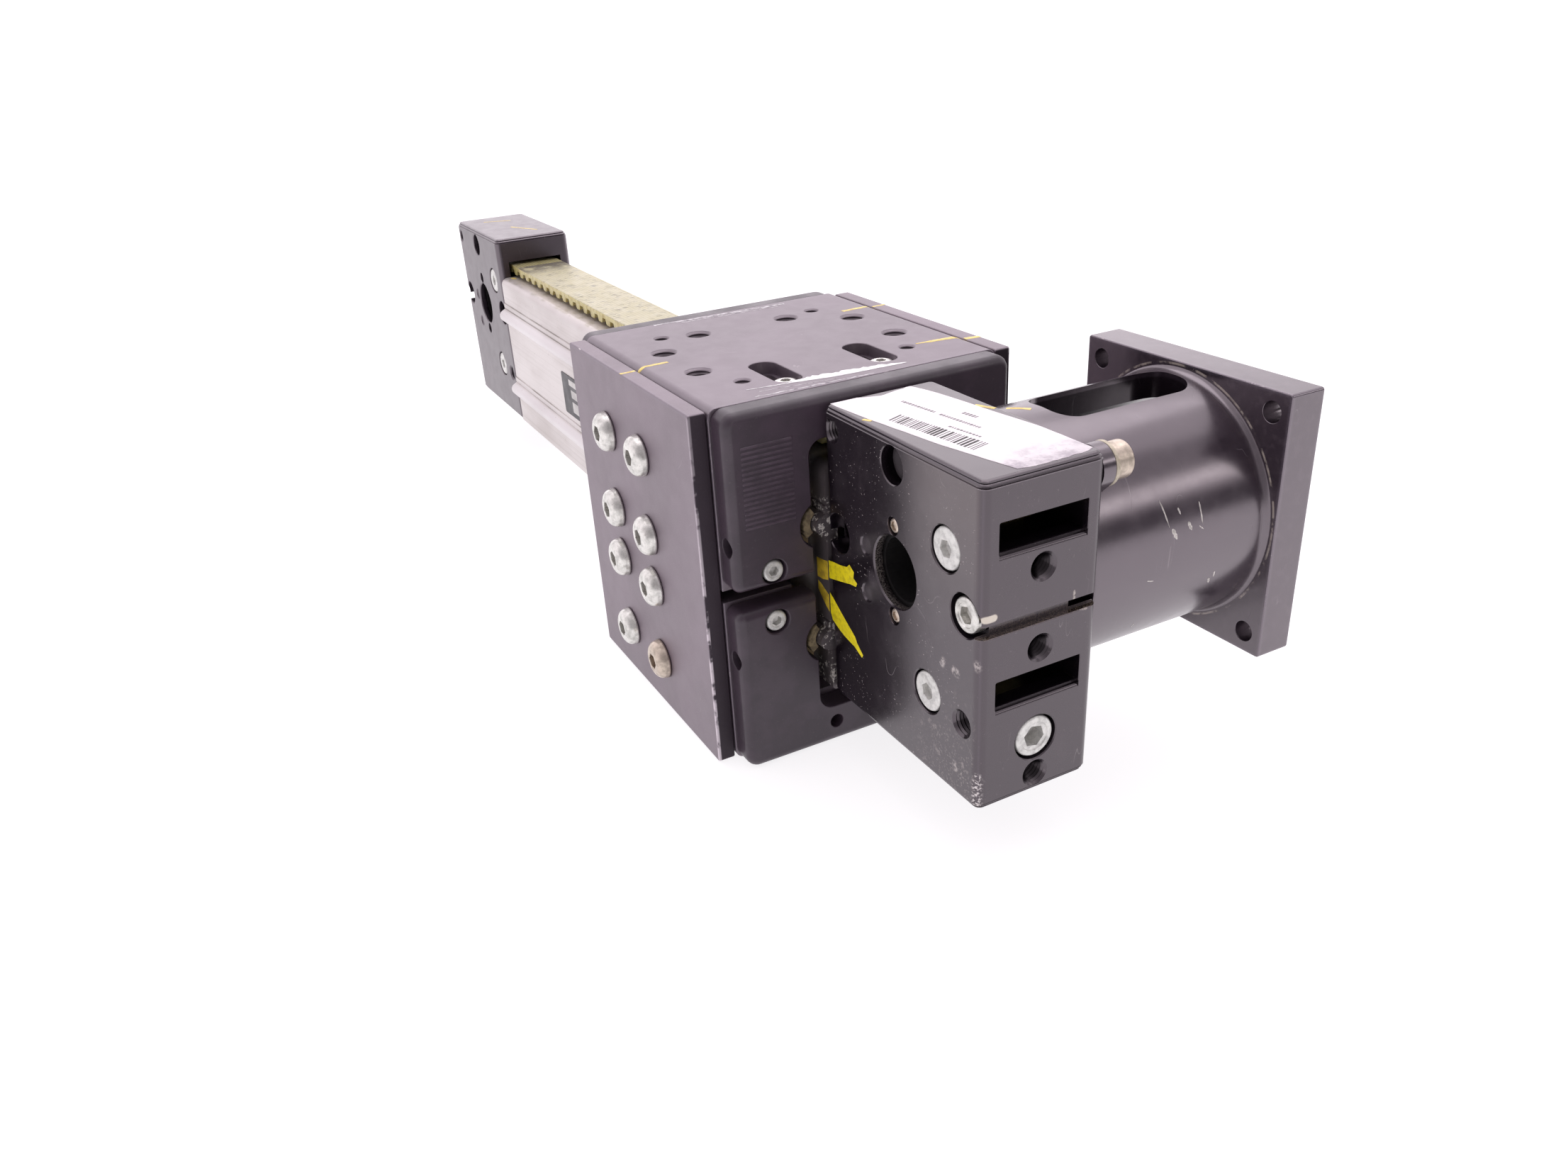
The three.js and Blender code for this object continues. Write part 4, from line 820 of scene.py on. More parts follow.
# ------------------------------------------------------------------------------------------------ beam
def beam_outline():
    R = 3.8

    def side():
        # from the bottom up, distance outwards and height
        pts = []
        for zr in (19.0, 60.2):
            pts += [(0.0, zr - R - 0.25), (0.25, zr - R)]
            pts += arc(0.6, zr, R - 0.6, -68, 68, 12)
            pts += [(0.25, zr + R), (0.5, zr + R + 0.3), (0.5, zr + R + 2.6), (0.3, zr + R + 2.8), (0.0, zr + R + 2.85)]
        return pts

    right = [(40 + a, b) for a, b in side()]
    left = [(-a, b) for a, b in side()][::-1]
    return [(0.8, 0), (39.2, 0), (40, 0.8)] + right + arc(36.5, 76.5, 3.5, 0, 90, 8) + arc(3.5, 76.5, 3.5, 90, 180, 8) + left + [(0, 0.8)]


bx0, bx1 = -BEAM_L + 0.3, -0.3
beam = prism("x", beam_outline(), bx0, bx1)
beam = cut(
    beam,
    [loft("x", [(bx0 - 1, rr(*q, 1.5, 4)), (bx1 + 1, rr(*q, 1.5, 4))]) for q in ((4, 36, 28, 44), (4, 36, 48, 75.5), (4, 11, 4, 24), (29, 36, 4, 24))]
    + [turned("x", 20, 18.6, [(4.3, bx0 - 1), (4.3, bx0 + 18)], 32), turned("x", 20, 18.6, [(4.3, bx1 - 18), (4.3, bx1 + 1)], 32)],
)
piece("beam_extrusion", beam, "base", MAT["beam"], ["beam"], angle=35)


# ------------------------------------------------------------------------------------------------ belt
def belt():
    PR, back, root, tip, pitch = 25.46, 1.2, 1.0, 3.5, 10.0
    xd, xi = BX, BX + IDLER
    ro, ri = PR + back, PR - root
    outer = arc(xd, BZ, ro, -90, 90, 36) + arc(xi, BZ, ro, 90, 270, 36)

    def teeth(x_from, x_to, z, inward):
        out = []
        d = 1 if x_to > x_from else -1
        count = int(abs(x_to - x_from) // pitch) - 2
        start = x_from + d * (abs(x_to - x_from) - count * pitch) / 2
        # rounded trapezoid teeth
        prof = [(-3.3, 0), (-3.05, 0.1), (-2.9, 0.35), (-2.3, 1.9), (-2.1, 2.25), (-1.7, 2.48), (1.7, 2.48), (2.1, 2.25), (2.3, 1.9), (2.9, 0.35), (3.05, 0.1), (3.3, 0)]
        for i in range(count):
            cx = start + d * pitch * (i + 0.5)
            out += [(cx + d * a, z + inward * b) for a, b in prof]
        return out

    inner = arc(xd, BZ, ri, -90, 90, 36) + teeth(xd, xi, BZ + ri, -1) + arc(xi, BZ, ri, 90, 270, 36) + teeth(xi, xd, BZ - ri, 1)
    # closed band: outer loop and inner loop joined by side faces (triangulated through a filled ring)
    y0, y1 = 7.6, 32.4
    bm = bmesh.new()
    loops = []
    for pts in (outer, inner):
        vs = [bm.verts.new((u, y0, v)) for u, v in pts]
        es = [bm.edges.new((vs[i], vs[(i + 1) % len(vs)])) for i in range(len(vs))]
        loops.append(es)
    bmesh.ops.triangle_fill(bm, use_beauty=True, use_dissolve=False, edges=loops[0] + loops[1])
    geom = bm.faces[:] + bm.edges[:] + bm.verts[:]
    ext = bmesh.ops.extrude_face_region(bm, geom=bm.faces[:])
    moved = [g for g in ext["geom"] if isinstance(g, bmesh.types.BMVert)]
    bmesh.ops.translate(bm, verts=moved, vec=(0, y1 - y0, 0))
    bmesh.ops.recalc_face_normals(bm, faces=bm.faces)
    me = bpy.data.meshes.new("tmp")
    bm.to_mesh(me)
    bm.free()
    ob = bpy.data.objects.new("tmp", me)
    scene.collection.objects.link(ob)
    return ob


piece("drive_belt_band", belt(), "base", MAT["belt"], ["drive_belt"], angle=38)


# ------------------------------------------------------------------------------------------------ motor adapter
def adapter():
    ax, az, r, y0, fy, y1, half = 38.5, 59.5, 39.2, 40.3, 106.0, 118.8, 42.4
    # tube with a small fillet where it runs into the flange
    prof = [(r - 0.6, y0), (r, y0 + 0.6), (r, fy - 3.0)]
    for i in range(1, 8):
        a = math.radians(90 * i / 7)
        prof.append((r + 2.0 * (1 - math.cos(a)), fy - 3.0 + 3.1 * math.sin(a)))
    prof += [(r + 2.4, fy + 0.4), (r + 2.4, fy + 2)]
    tube = turned("y", ax, az, prof, 112)
    flange = rbox("y", ax - half, ax + half, az - half, az + half, fy, y1, 1.0, 0.45, 0.45, 3, 2)
    parts = [flange]
    for ex, ez in ((72.2, 92.8), (5.4, 25.9)):
        dx, dz = ex - ax, ez - az
        d = math.hypot(dx, dz)
        ux, uz, k = dx / d, dz / d, 6.4
        a = math.degrees(math.atan2(dz, dx))
        tip = arc(ex, ez, k, a - 90, a + 90, 18)
        root = [(ax + ux * 20 - uz * k, az + uz * 20 + ux * k), (ax + ux * 20 + uz * k, az + uz * 20 - ux * k)]
        parts.append(prism("y", tip + root, y0, y0 + 4.2))
    body = union(tube, parts)
    c = [
        turned("y", ax, az, [(31.0, y0 + 5), (31.0, y1 - 1.5), (31.0, y1 + 1)], 96),
        turned("y", ax, az, [(36.6, y1 - 2.2), (36.6, y1 - 0.2), (37.8, y1 + 1)], 96),
        turned("y", ax, az, [(15.0, y0 - 1), (15.0, y0 + 6)], 56),
        slot_cut("z", ax - 10.6, ax + 10.6, 51.5, 102.6, 7.5, az + 42.0, az + 5, ch=0.3, n=8),
        box(-5, 0.2, y0 - 1, y0 + 5, az - 60, az + 12),
    ]
    for i in (-1, 1):
        for k in (-1, 1):
            c.append(turned("y", ax + i * 35.7, az + k * 35.7, [(4.4, fy - 1), (3.2, fy + 0.3), (3.2, y1 - 0.4), (4.6, y1 + 1)], 36))
    for ex, ez in ((72.2, 92.8), (5.4, 25.9)):
        c.append(turned("y", ex, ez, [(3.4, y0 - 1), (3.4, y0 + 6)], 32))
    return cut(body, c)


piece("motor_adapter_casting", adapter(), "base", MAT["adapter"], ["motor_adapter"])
for lv, ex, ez, rot in (("upper", 72.2, 92.8, 10), ("lower", 5.4, 25.9, 33)):
    b = 40.3 + 4.2 + 0.1
    w = turned("y", ex, ez, [(6.15, b), (6.4, b + 0.2), (6.4, b + 1.3), (6.15, b + 1.5)], 44)
    w = cut(w, [turned("y", ex, ez, [(3.5, b - 1), (3.5, b + 2.5)], 36)])
    piece(f"adapter_washer_{lv}_ring", w, "base", MAT["washer"], ["adapter_washer_" + lv])
    s = low_head(5.4, 6.0, 3.0, 16, 5, rot, 0.0, 48)
    piece(f"adapter_screw_{lv}_steel", onto(s, (ex, b + 1.6 + 6.0, ez), (0, 1, 0)), "base", MAT["stainless"] if lv == "upper" else MAT["zinc"], ["adapter_screw_" + lv])

# ------------------------------------------------------------------------------------------------ cart halves
X0, X1, YL, YR, Z0, Z1 = -117.0, -11.0, YC - 52.6, YC + 52.6, -22.1, 101.7
PLATE_SCREWS = [(x, z) for x in (-84.4, -54.5) for z in (76.1, 47.3, 27.7, -1.3)]


def cart_half(upper):
    zlo, zhi = (41.5, Z1) if upper else (Z0, 37.5)
    rs = [0.3, 0.3, 3.2, 3.2] if upper else [3.2, 3.2, 0.3, 0.3]
    body = rbox("x", YL, YR, zlo, zhi, X0, X1, rs, 0.25, 0.25, 7, 1)
    c = []
    if upper:
        c.append(loft("x", [(X0 - 1, rr(-8, 48, 30, 88.6, [0.1, 0.1, 1.5, 1.5], 4)), (X1 + 1, rr(-8, 48, 30, 88.6, [0.1, 0.1, 1.5, 1.5], 4))]))
        c += [box(X0 - 1, X1 + 1, -12, -7, 49.4, 71.0), box(X0 - 1, X1 + 1, 47, 52, 49.4, 71.0), box(-62, -16, -3, 43, 87, 96.2)]
        for y in (2.0, 37.6):
            c.append(slot_cut("z", -46.6, -20.6, y - 4.8, y + 4.8, 4.75, Z1, 97.6, ch=0.3, n=12))
            c.append(loft("z", [(90.0, rr(-45.0, -22.0, y - 3.3, y + 3.3, 3.25, 12)), (98.0, rr(-45.0, -22.0, y - 3.3, y + 3.3, 3.25, 12))]))
        for x, y in ((-96.6, -11.0), (-96.6, 50.8), (-31.0, -11.0), (-31.0, 50.8)):
            c.append(tapped("z", x, y, Z1, Z1 - 10, 2.7, 0.9, 28, 0.35))
        for x, y in ((-92.9, 2.0), (-92.9, 37.8), (-77.9, -17.9), (-77.9, 57.7), (-49.4, -17.9), (-49.4, 57.7)):
            c.append(tapped("z", x, y, Z1, Z1 - 11, 4.2, 1.2, 36, 0.6))
    else:
        c.append(box(X0 - 1, X1 + 1, -8, 48, -5.5, 45))
        c += [box(X0 - 1, X1 + 1, -12, -7, 8.2, 29.8), box(X0 - 1, X1 + 1, 47, 52, 8.2, 29.8)]
        # tapped holes of the lower mounting face
        for x, y in ((-92.9, 2.0), (-92.9, 37.8), (-35.0, 2.0), (-35.0, 37.8)):
            c.append(tapped("z", x, y, Z0, Z0 + 10, 4.2, 1.2, 36, 0.6))
    zs = 48.2 if upper else 30.6
    for s in (-1, 1):
        y = YC + s * 38.1
        c += [turned("x", y, zs, [(2.4, X1 - 12), (2.4, X1 + 1)], 24), turned("x", y, zs, [(2.4, X0 - 1), (2.4, X0 + 12)], 24)]
    for x, z in PLATE_SCREWS:
        if (z > 40) == upper:
            c += [turned("y", x, z, [(4.3, YL - 1), (4.3, YL + 16)], 28), turned("y", x, z, [(4.3, YR - 16), (4.3, YR + 1)], 28)]
    return cut(body, c)


piece("cart_upper_block", cart_half(True), "cart", MAT["cart"], ["cart_upper_half"])
piece("cart_lower_block", cart_half(False), "cart", MAT["cart"], ["cart_lower_half"])
for sd, y in (("left", 2.0), ("right", 37.6)):
    s = button_head(4.5, 2.6, 2.5, 8.0, 3, 14, 36)
    piece(f"belt_clamp_screw_{sd}_zinc", onto(s, (-26.4, y, 100.6), (0, 0, 1)), "cart", MAT["zinc"], [f"belt_clamp_screw_{sd}"])

# ------------------------------------------------------------------------------------------------ side plates and screws
for sd, s in (("left", -1), ("right", 1)):
    yi, yo = YC + s * 52.9, YC + s * 58.9
    a, b = min(yi, yo), max(yi, yo)
    p = rbox("y", -116.7, -11.5, -21.4, 101.0, a, b, 0.9, 0.5, 0.5, 3, 2)
    p = cut(p, [turned("y", x, z, [(4.4, a - 1), (4.4, b + 1)], 28) for x, z in PLATE_SCREWS])
    piece(f"side_plate_{sd}_sheet", p, "cart", MAT["plate"], [f"side_plate_{sd}"])
    for i, (x, z) in enumerate(PLATE_SCREWS):
        h = button_head(7.2, 4.4, 3.95, 19, 5, (17 * i + (23 if s > 0 else 0)) % 60)
        warm = s < 0 and (x, z) == (-54.5, -1.3)
        piece(f"plate_screw_{sd}_{i + 1}_head", onto(h, (x, yo + s * 4.5, z), (0, s, 0)), "cart", MAT["stainless"] if warm else MAT["zinc"], [f"plate_screw_{sd}_{i + 1}"])


# ------------------------------------------------------------------------------------------------ end caps, wipers, cap screws
def end_cap(upper, rear):
    z0, z1 = (43.2, 101.6) if upper else (Z0, 36.4)
    x1 = -117.3 if rear else -2.0
    x0 = x1 - 8.7
    yl, yr = YC - 52.0, YC + 52.0
    zr = 60.2 if upper else 19.0
    rs = [3.0, 3.0, 4.5, 4.5] if upper else [4.5, 4.5, 3.0, 3.0]
    body = rbox("x", yl, yr, z0, z1, x0, x1, rs, 3.0 if rear else 0.2, 0.2 if rear else 3.0, 8, 5)
    face, d = (x0, -1) if rear else (x1, 1)
    back = x1 if rear else x0
    op = (-3.9, 43.9, 30.0, 88.2) if upper else (-3.9, 43.9, -7.8, 50.0)
    orad = [0.1, 0.1, 5, 5] if upper else [5, 5, 0.1, 0.1]
    sz = 48.2 if upper else 30.6
    c = [loft("x", [(back - d, rr(*op, orad, 8)), (face - d * 0.5, rr(*op, orad, 8)), (face + d, rr(*op, orad, 8, -1.5))])]
    for y in (0.0, 40.0):
        c.append(turned("x", y, zr, [(8.2, back - d), (8.2, face - d * 0.4), (9.6, face + d)], 44))
    for s in (-1, 1):
        y = YC + s * 38.1
        c.append(turned("x", y, sz, [(2.4, back - d), (2.4, face - d * 4)], 24))
        c.append(turned("x", y, sz, [(4.3, face - d * 4.6), (4.3, face - d * 0.5), (5.8, face + d)], 40))
        ye = yl if s < 0 else yr
        c.append(hole("y", (x0 + x1) / 2, 58.4 if upper else 18.6, ye, ye - s * 9, 3.1, 30, 0.4))
    if not upper:
        for y in (1.9, 37.9):
            c.append(hole("x", y, -14.0, face, face - d * 5, 2.4, 28, 0.3))
    return cut(body, c)


for end, rear in (("front", False), ("rear", True)):
    for lv, up in (("upper", True), ("lower", False)):
        piece(f"{end}_cap_{lv}_moulding", end_cap(up, rear), "cart", MAT["cap"], [f"{end}_cap_{lv}"])
        zr = 60.2 if up else 19.0
        zs = 48.2 if up else 30.6
        fx, d = (-126.0, -1) if rear else (-2.0, 1)
        for sd, s in (("left", -1), ("right", 1)):
            y = YC + s * 38.1
            h = onto(low_head(3.6, 3.9, 2.0, 10, 3, 25 if up else 48, 0.2, 36), (fx - d * 0.5, y, zs), (d, 0, 0))
            if rear:
                piece(f"rear_cap_screw_{lv}_{sd}_zinc", h, "cart", MAT["zinc_white"])
            else:
                piece(f"front_cap_screw_{lv}_{sd}_zinc", h, "cart", MAT["zinc_white"], [f"front_cap_screw_{lv}_{sd}"])
            # felt wiper: an open ring around the rib, held in the notch of the cap
            yc = 0.0 if s < 0 else 40.0
            a0 = 100 if s < 0 else -80
            wrnd = random.Random(int(zr) + (3 if s > 0 else 0) + (7 if rear else 0))
            span = (a0 + 26, a0 + 118) if s < 0 else (a0 + 42, a0 + 134)
            ring = [(yc + (6.9 + wrnd.uniform(-0.35, 0.35)) * math.cos(math.radians(q)), zr + (6.9 + wrnd.uniform(-0.35, 0.35)) * math.sin(math.radians(q))) for q in [span[0] + (span[1] - span[0]) * i / 22 for i in range(23)]]
            ring += arc(yc, zr, 4.15, span[1], span[0], 22)
            t0, t1 = (fx + 7.6, fx + 1.0) if rear else (fx - 7.6, fx - 1.0)
            t0, t1 = min(t0, t1), max(t0, t1)
            mid_ring = [(yc + (u - yc) * (0.95 if i < 23 else 1.05), zr + (w_ - zr) * (0.95 if i < 23 else 1.05)) for i, (u, w_) in enumerate(ring)]
            piece(f"wiper_{end}_{lv}_{sd}", loft("x", [(t0, mid_ring), (t0 + 0.4, ring), (t1 - 0.4, ring), (t1, mid_ring)]), "cart", MAT["felt"])

# plain ribbed field on the front of the upper cap
ribs = []
for i in range(17):
    z = 64.4 + i * 1.62
    ribs.append(rbox("x", -27.0, -9.6, z, z + 0.85, -2.2, -1.78, 0.3, 0.1, 0.18, 3, 1))
piece("front_cap_rib_field", merged(ribs), "cart", MAT["cap_rib"])

# ------------------------------------------------------------------------------------------------ hidden inner parts: keep the CAD solids, give them materials and flat shading
inner = {
    "drive_pulley": "pulley", "idler_pulley": "pulley", "drive_bearing_left": "bearing", "drive_bearing_right": "bearing", "idler_bearing_left": "bearing",
    "idler_bearing_right": "bearing", "slide_bearing_upper_left": "polymer", "slide_bearing_upper_right": "polymer", "slide_bearing_lower_left": "polymer",
    "slide_bearing_lower_right": "polymer", "belt_clamp": "clamp",
}
for n, k in inner.items():
    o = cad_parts[n]
    o.data.materials.clear()
    o.data.materials.append(MAT[k])
    for f in o.data.polygons:
        f.use_smooth = False
for n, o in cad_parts.items():
    if n not in inner and not o.hide_render:
        print("SHOWN CAD NODE", n)

# ------------------------------------------------------------------------------------------------ label, marks, name plate
E1, E2, L0 = Vector((0.991, 0.131)), Vector((-0.131, 0.991)), Vector((0.2, 1.4))


def lab(u, v):
    p = L0 + E1 * u + E2 * v
    return (p.x, p.y)


def ragged(a, b, n, amp, rnd):
    out = []
    for i in range(n):
        t = i / n
        out.append((a[0] + (b[0] - a[0]) * t + rnd.uniform(-amp, amp), a[1] + (b[1] - a[1]) * t + rnd.uniform(-amp, amp)))
    return out


rnd = random.Random(11)


def clampxy(pts, x0, x1, y0, y1):
    return [(min(max(x, x0), x1), min(max(y, y0), y1)) for x, y in pts]


near = [(0.8, 1.5), (19.6, 3.3), (36.0, 5.6), (51.7, 7.8), (64.0, 10.3), (76.6, 12.9)]
main = []
for (a0, b0), (a1, b1) in zip(near[:-1], near[1:]):
    main += ragged((a0, b0), (a1, b1), 4, 0.05, rnd)
main += ragged((76.9, 13.1), (77.9, 19.0), 5, 0.2, rnd) + ragged((77.9, 19.0), (77.7, 30.0), 7, 0.18, rnd) + ragged((77.7, 30.0), (77.2, 37.2), 5, 0.25, rnd)
main += ragged((76.2, 38.2), (66.0, 38.1), 6, 0.2, rnd) + ragged((66.0, 38.1), (54.0, 38.0), 4, 0.12, rnd)
main += ragged((53.9, 37.9), (36.5, 35.6), 3, 0.05, rnd) + ragged((36.5, 35.6), (18.2, 33.7), 3, 0.05, rnd)
main += ragged((18.2, 33.7), (2.2, 30.9), 3, 0.2, rnd) + ragged((2.0, 29.9), (4.8, 17.7), 8, 0.3, rnd) + ragged((4.8, 17.7), (1.3, 9.9), 6, 0.3, rnd) + ragged((1.3, 9.9), (0.9, 1.6), 4, 0.2, rnd)
main = clampxy(main, 1.9, 77.9, 1.9, 38.1)
piece("housing_label", flake("z", main, HH - 0.02, HH + 0.12, 0.12), "base", MAT["housing_label"], angle=30, weighted=False)


def quad(u, v):
    """Point in the printed bar field: u along it, v from its near to its far side"""
    a = (25.4 + (60.1 - 25.4) * u, 7.5 + (12.2 - 7.5) * u)
    b = (23.4 + (58.5 - 23.4) * u, 12.8 + (18.4 - 12.8) * u)
    return (a[0] + (b[0] - a[0]) * v, a[1] + (b[1] - a[1]) * v)


bars = []
u = 0.0
while u < 0.985:
    w = rnd.choice((0.30, 0.36, 0.55, 0.85)) / 35.0
    bars.append(prism("z", [quad(u, 0), quad(min(u + w, 1), 0), quad(min(u + w, 1), 1), quad(u, 1)], HH + 0.1, HH + 0.15))
    u += w + rnd.choice((0.42, 0.55, 0.8)) / 35.0
piece("housing_label_bars", merged(bars), "base", MAT["ink"], angle=30, weighted=False)
lines = []
for (ax_, ay_), (bx_, by_), th in (((13.3, 19.4), (27.5, 21.3), 1.1), ((30.0, 21.4), (46.5, 23.6), 1.1), ((40.0, 17.6), (52.5, 19.4), 0.8), ((33.0, 27.2), (38.5, 28.0), 1.5)):
    L = math.hypot(bx_ - ax_, by_ - ay_)
    ux_, uy_ = (bx_ - ax_) / L, (by_ - ay_) / L
    t = 0.0
    while t < L:
        w = rnd.uniform(0.45, 1.0)
        q = [(ax_ + ux_ * t, ay_ + uy_ * t), (ax_ + ux_ * min(t + w, L), ay_ + uy_ * min(t + w, L))]
        lines.append(prism("z", [q[0], q[1], (q[1][0] - uy_ * th, q[1][1] + ux_ * th), (q[0][0] - uy_ * th, q[0][1] + ux_ * th)], HH + 0.1, HH + 0.145))
        t += w + 0.42
piece("housing_label_rules", merged(lines), "base", MAT["ink_grey"], angle=30, weighted=False)


def stroke(path, normals, width, body, name, mat, th=0.06, jitter=0.15, seed=1):
    """Paint stroke: a thin closed band that follows path (mm points), with its width across normals x direction"""
    r = random.Random(seed)
    V, F = [], []
    k = len(path)
    for i, p in enumerate(path):
        p = Vector(p)
        t = (Vector(path[min(i + 1, k - 1)]) - Vector(path[max(i - 1, 0)])).normalized()
        n = Vector(normals[i] if isinstance(normals, list) else normals).normalized()
        s = t.cross(n).normalized()
        w = (width[i] if isinstance(width, (list, tuple)) else width) / 2
        wl, wr = w + r.uniform(-jitter, jitter), w + r.uniform(-jitter, jitter)
        lo, hi = -0.02, th
        V += [p + s * wl + n * lo, p - s * wr + n * lo, p - s * (wr * 0.86) + n * hi, p + s * (wl * 0.86) + n * hi]
    for i in range(k - 1):
        a = i * 4
        for j in range(4):
            F.append((a + j, a + (j + 1) % 4, a + 4 + (j + 1) % 4, a + 4 + j))
    F.append((3, 2, 1, 0))
    a = (k - 1) * 4
    F.append((a, a + 1, a + 2, a + 3))
    ob = raw(V, F)
    if name is None:
        return ob
    return piece(name, ob, body, mat, angle=30, weighted=False)


def line(a, b, n, wob=0.0, seed=3):
    r = random.Random(seed)
    a, b = Vector(a), Vector(b)
    return [a.lerp(b, i / n) + Vector((r.uniform(-wob, wob), r.uniform(-wob, wob), 0)) for i in range(n + 1)]


def fillet_path(x0, x1, side, inner, n=7):
    """Path across the top of the cart from its side fillet inwards; side -1 left, 1 right"""
    R = 3.2
    cy = (YL + R) if side < 0 else (YR - R)
    pts, nr = [], []
    for i in range(n + 1):
        a = math.radians(18 + 72 * i / n)
        pts.append((cy + side * R * math.cos(a), Z1 - R + R * math.sin(a)))
        nr.append((0, side * math.cos(a), math.sin(a)))
    m = 8
    for i in range(1, m + 1):
        pts.append((cy + (inner - cy) * i / m, Z1))
        nr.append((0, 0, 1))
    k = len(pts)
    return [(x0 + (x1 - x0) * i / (k - 1), p[0], p[1]) for i, p in enumerate(pts)], nr


top = []
p, nr = fillet_path(-66.0, -66.4, -1, -21.4)
top.append(stroke(p, nr, [2.0] * 6 + [1.6] * 4 + [1.7] * 6, None, None, None, seed=4))
p, nr = fillet_path(-88.2, -87.6, 1, 59.2)
top.append(stroke(p, nr, [1.9] * 16, None, None, None, seed=5))
p, nr = fillet_path(-29.3, -32.0, 1, 55.2)
top.append(stroke(p, nr, [2.6] * 9 + [2.0] * 4 + [1.0] * 3, None, None, None, seed=6))
for q, a, b, w in ((0, (-65.7, -38.8, 101.0), (-65.9, -33.4, 101.0), 1.4), (1, (-88.4, 73.0, 101.0), (-88.6, 78.6, 101.0), 1.2), (2, (-28.9, 73.0, 101.0), (-28.1, 78.6, 101.0), 2.2)):
    top.append(stroke(line(a, b, 5, 0.08, 7 + q), (0, 0, 1), w, None, None, None, seed=8 + q))
piece("cart_paint_marks", merged(top), "cart", MAT["paint"], angle=30, weighted=False)

fix = []
# idler housing top strokes and a spot on the beam beside it
fix.append(stroke(line((-415.2, 12.0, 100.0), (-408.6, 26.0, 100.0), 6, 0.1, 12), (0, 0, 1), 1.1, None, None, None, seed=12))
fix.append(stroke(line((-386.5, 19.5, 100.0), (-366.5, 28.6, 100.0), 8, 0.1, 13), (0, 0, 1), 1.2, None, None, None, seed=13))
# housing top marks beside the adapter
fix.append(stroke(line((29.0, 34.9, 100.0), (35.0, 37.7, 100.0), 4, 0.08, 14), (0, 0, 1), 1.5, None, None, None, seed=14))
fix.append(stroke([(33.0 + 5.6 * i / 6, 43.2 + 4.6 * i / 6, 59.5 + 39.2 * math.cos(math.asin((33.0 + 5.6 * i / 6 - 38.5) / 39.2))) for i in range(7)], (0, 0, 1), 1.7, None, None, None, seed=16))
fix.append(stroke(line((20.0, 2.3, 100.0), (22.6, 3.6, 100.0), 3, 0.05, 15), (0, 0, 1), 1.3, None, None, None, seed=15))
fix.append(flake("z", [(-348.0, 5.0), (-346.2, 4.4), (-344.0, 5.2), (-342.6, 6.4), (-344.6, 7.2), (-347.0, 6.8)], 79.95, 80.06, 0.2))
piece("base_paint_marks", merged(fix), "base", MAT["paint"], angle=30, weighted=False)
# two bright strokes from the beam onto the drive housing's left side
b1 = flake("y", [(0.2, 42.0), (3.0, 42.6), (8.0, 43.8), (13.6, 45.2), (16.8, 45.6), (17.6, 47.0), (15.4, 48.0), (15.8, 50.2), (13.2, 51.8), (11.6, 50.4), (7.6, 49.4), (3.0, 48.8), (0.2, 48.2)], 0.02, -0.07, 0.3)
b2 = flake("y", [(0.2, 29.6), (1.4, 27.4), (4.8, 25.8), (8.6, 24.6), (12.0, 24.0), (14.6, 23.6), (19.2, 21.6), (19.9, 22.8), (16.4, 25.6), (15.2, 27.4), (10.6, 30.2), (6.2, 33.0), (2.6, 35.4), (0.2, 36.8)], 0.02, -0.07, 0.3)
b3 = flake("y", [(-7.6, 39.6), (-4.0, 39.9), (-0.5, 41.0), (-0.5, 47.6), (-4.0, 47.0), (-7.6, 46.6)], 0.02, -0.06, 0.3)
b4 = flake("y", [(-7.4, 35.2), (-5.0, 32.8), (-2.4, 30.6), (-0.5, 29.4), (-0.5, 35.6), (-2.8, 36.6), (-5.4, 37.8), (-7.4, 38.4)], 0.02, -0.06, 0.3)
piece("beam_paint", merged([b3, b4]), "base", MAT["paint_old"], angle=30, weighted=False)
piece("drive_housing_paint", merged([b1, b2]), "base", MAT["paint_bright"], angle=30, weighted=False)

# name plate on the beam: dark, blank, with two plain light fields
npl = loft("y", [(0.02, rr(-262.6, -210.0, 28.6, 49.4, 1.2, 4)), (-0.25, rr(-262.6, -210.0, 28.6, 49.4, 1.2, 4)), (-0.32, rr(-262.6, -210.0, 28.6, 49.4, 1.2, 4, 0.1))])
piece("beam_name_plate", npl, "base", MAT["plate_id"], angle=30)
wins = [loft("y", [(-0.28, rr(a, b, c, e, 0.3, 2)), (-0.36, rr(a, b, c, e, 0.3, 2))]) for a, b, c, e in ((-252, -214, 44.6, 47.6), (-250, -214, 38.6, 42.6), (-250, -214, 31.2, 36.6))]
piece("beam_name_plate_fields", merged(wins), "base", MAT["plate_id_light"], angle=30)

# white label residue on top of the cart and thin lines beside it
wr = random.Random(21)
def along_y(table, y):
    for (y0_, v0_), (y1_, v1_) in zip(table[:-1], table[1:]):
        if y <= y1_:
            return v0_ + (v1_ - v0_) * (y - y0_) / (y1_ - y0_)
    return table[-1][1]


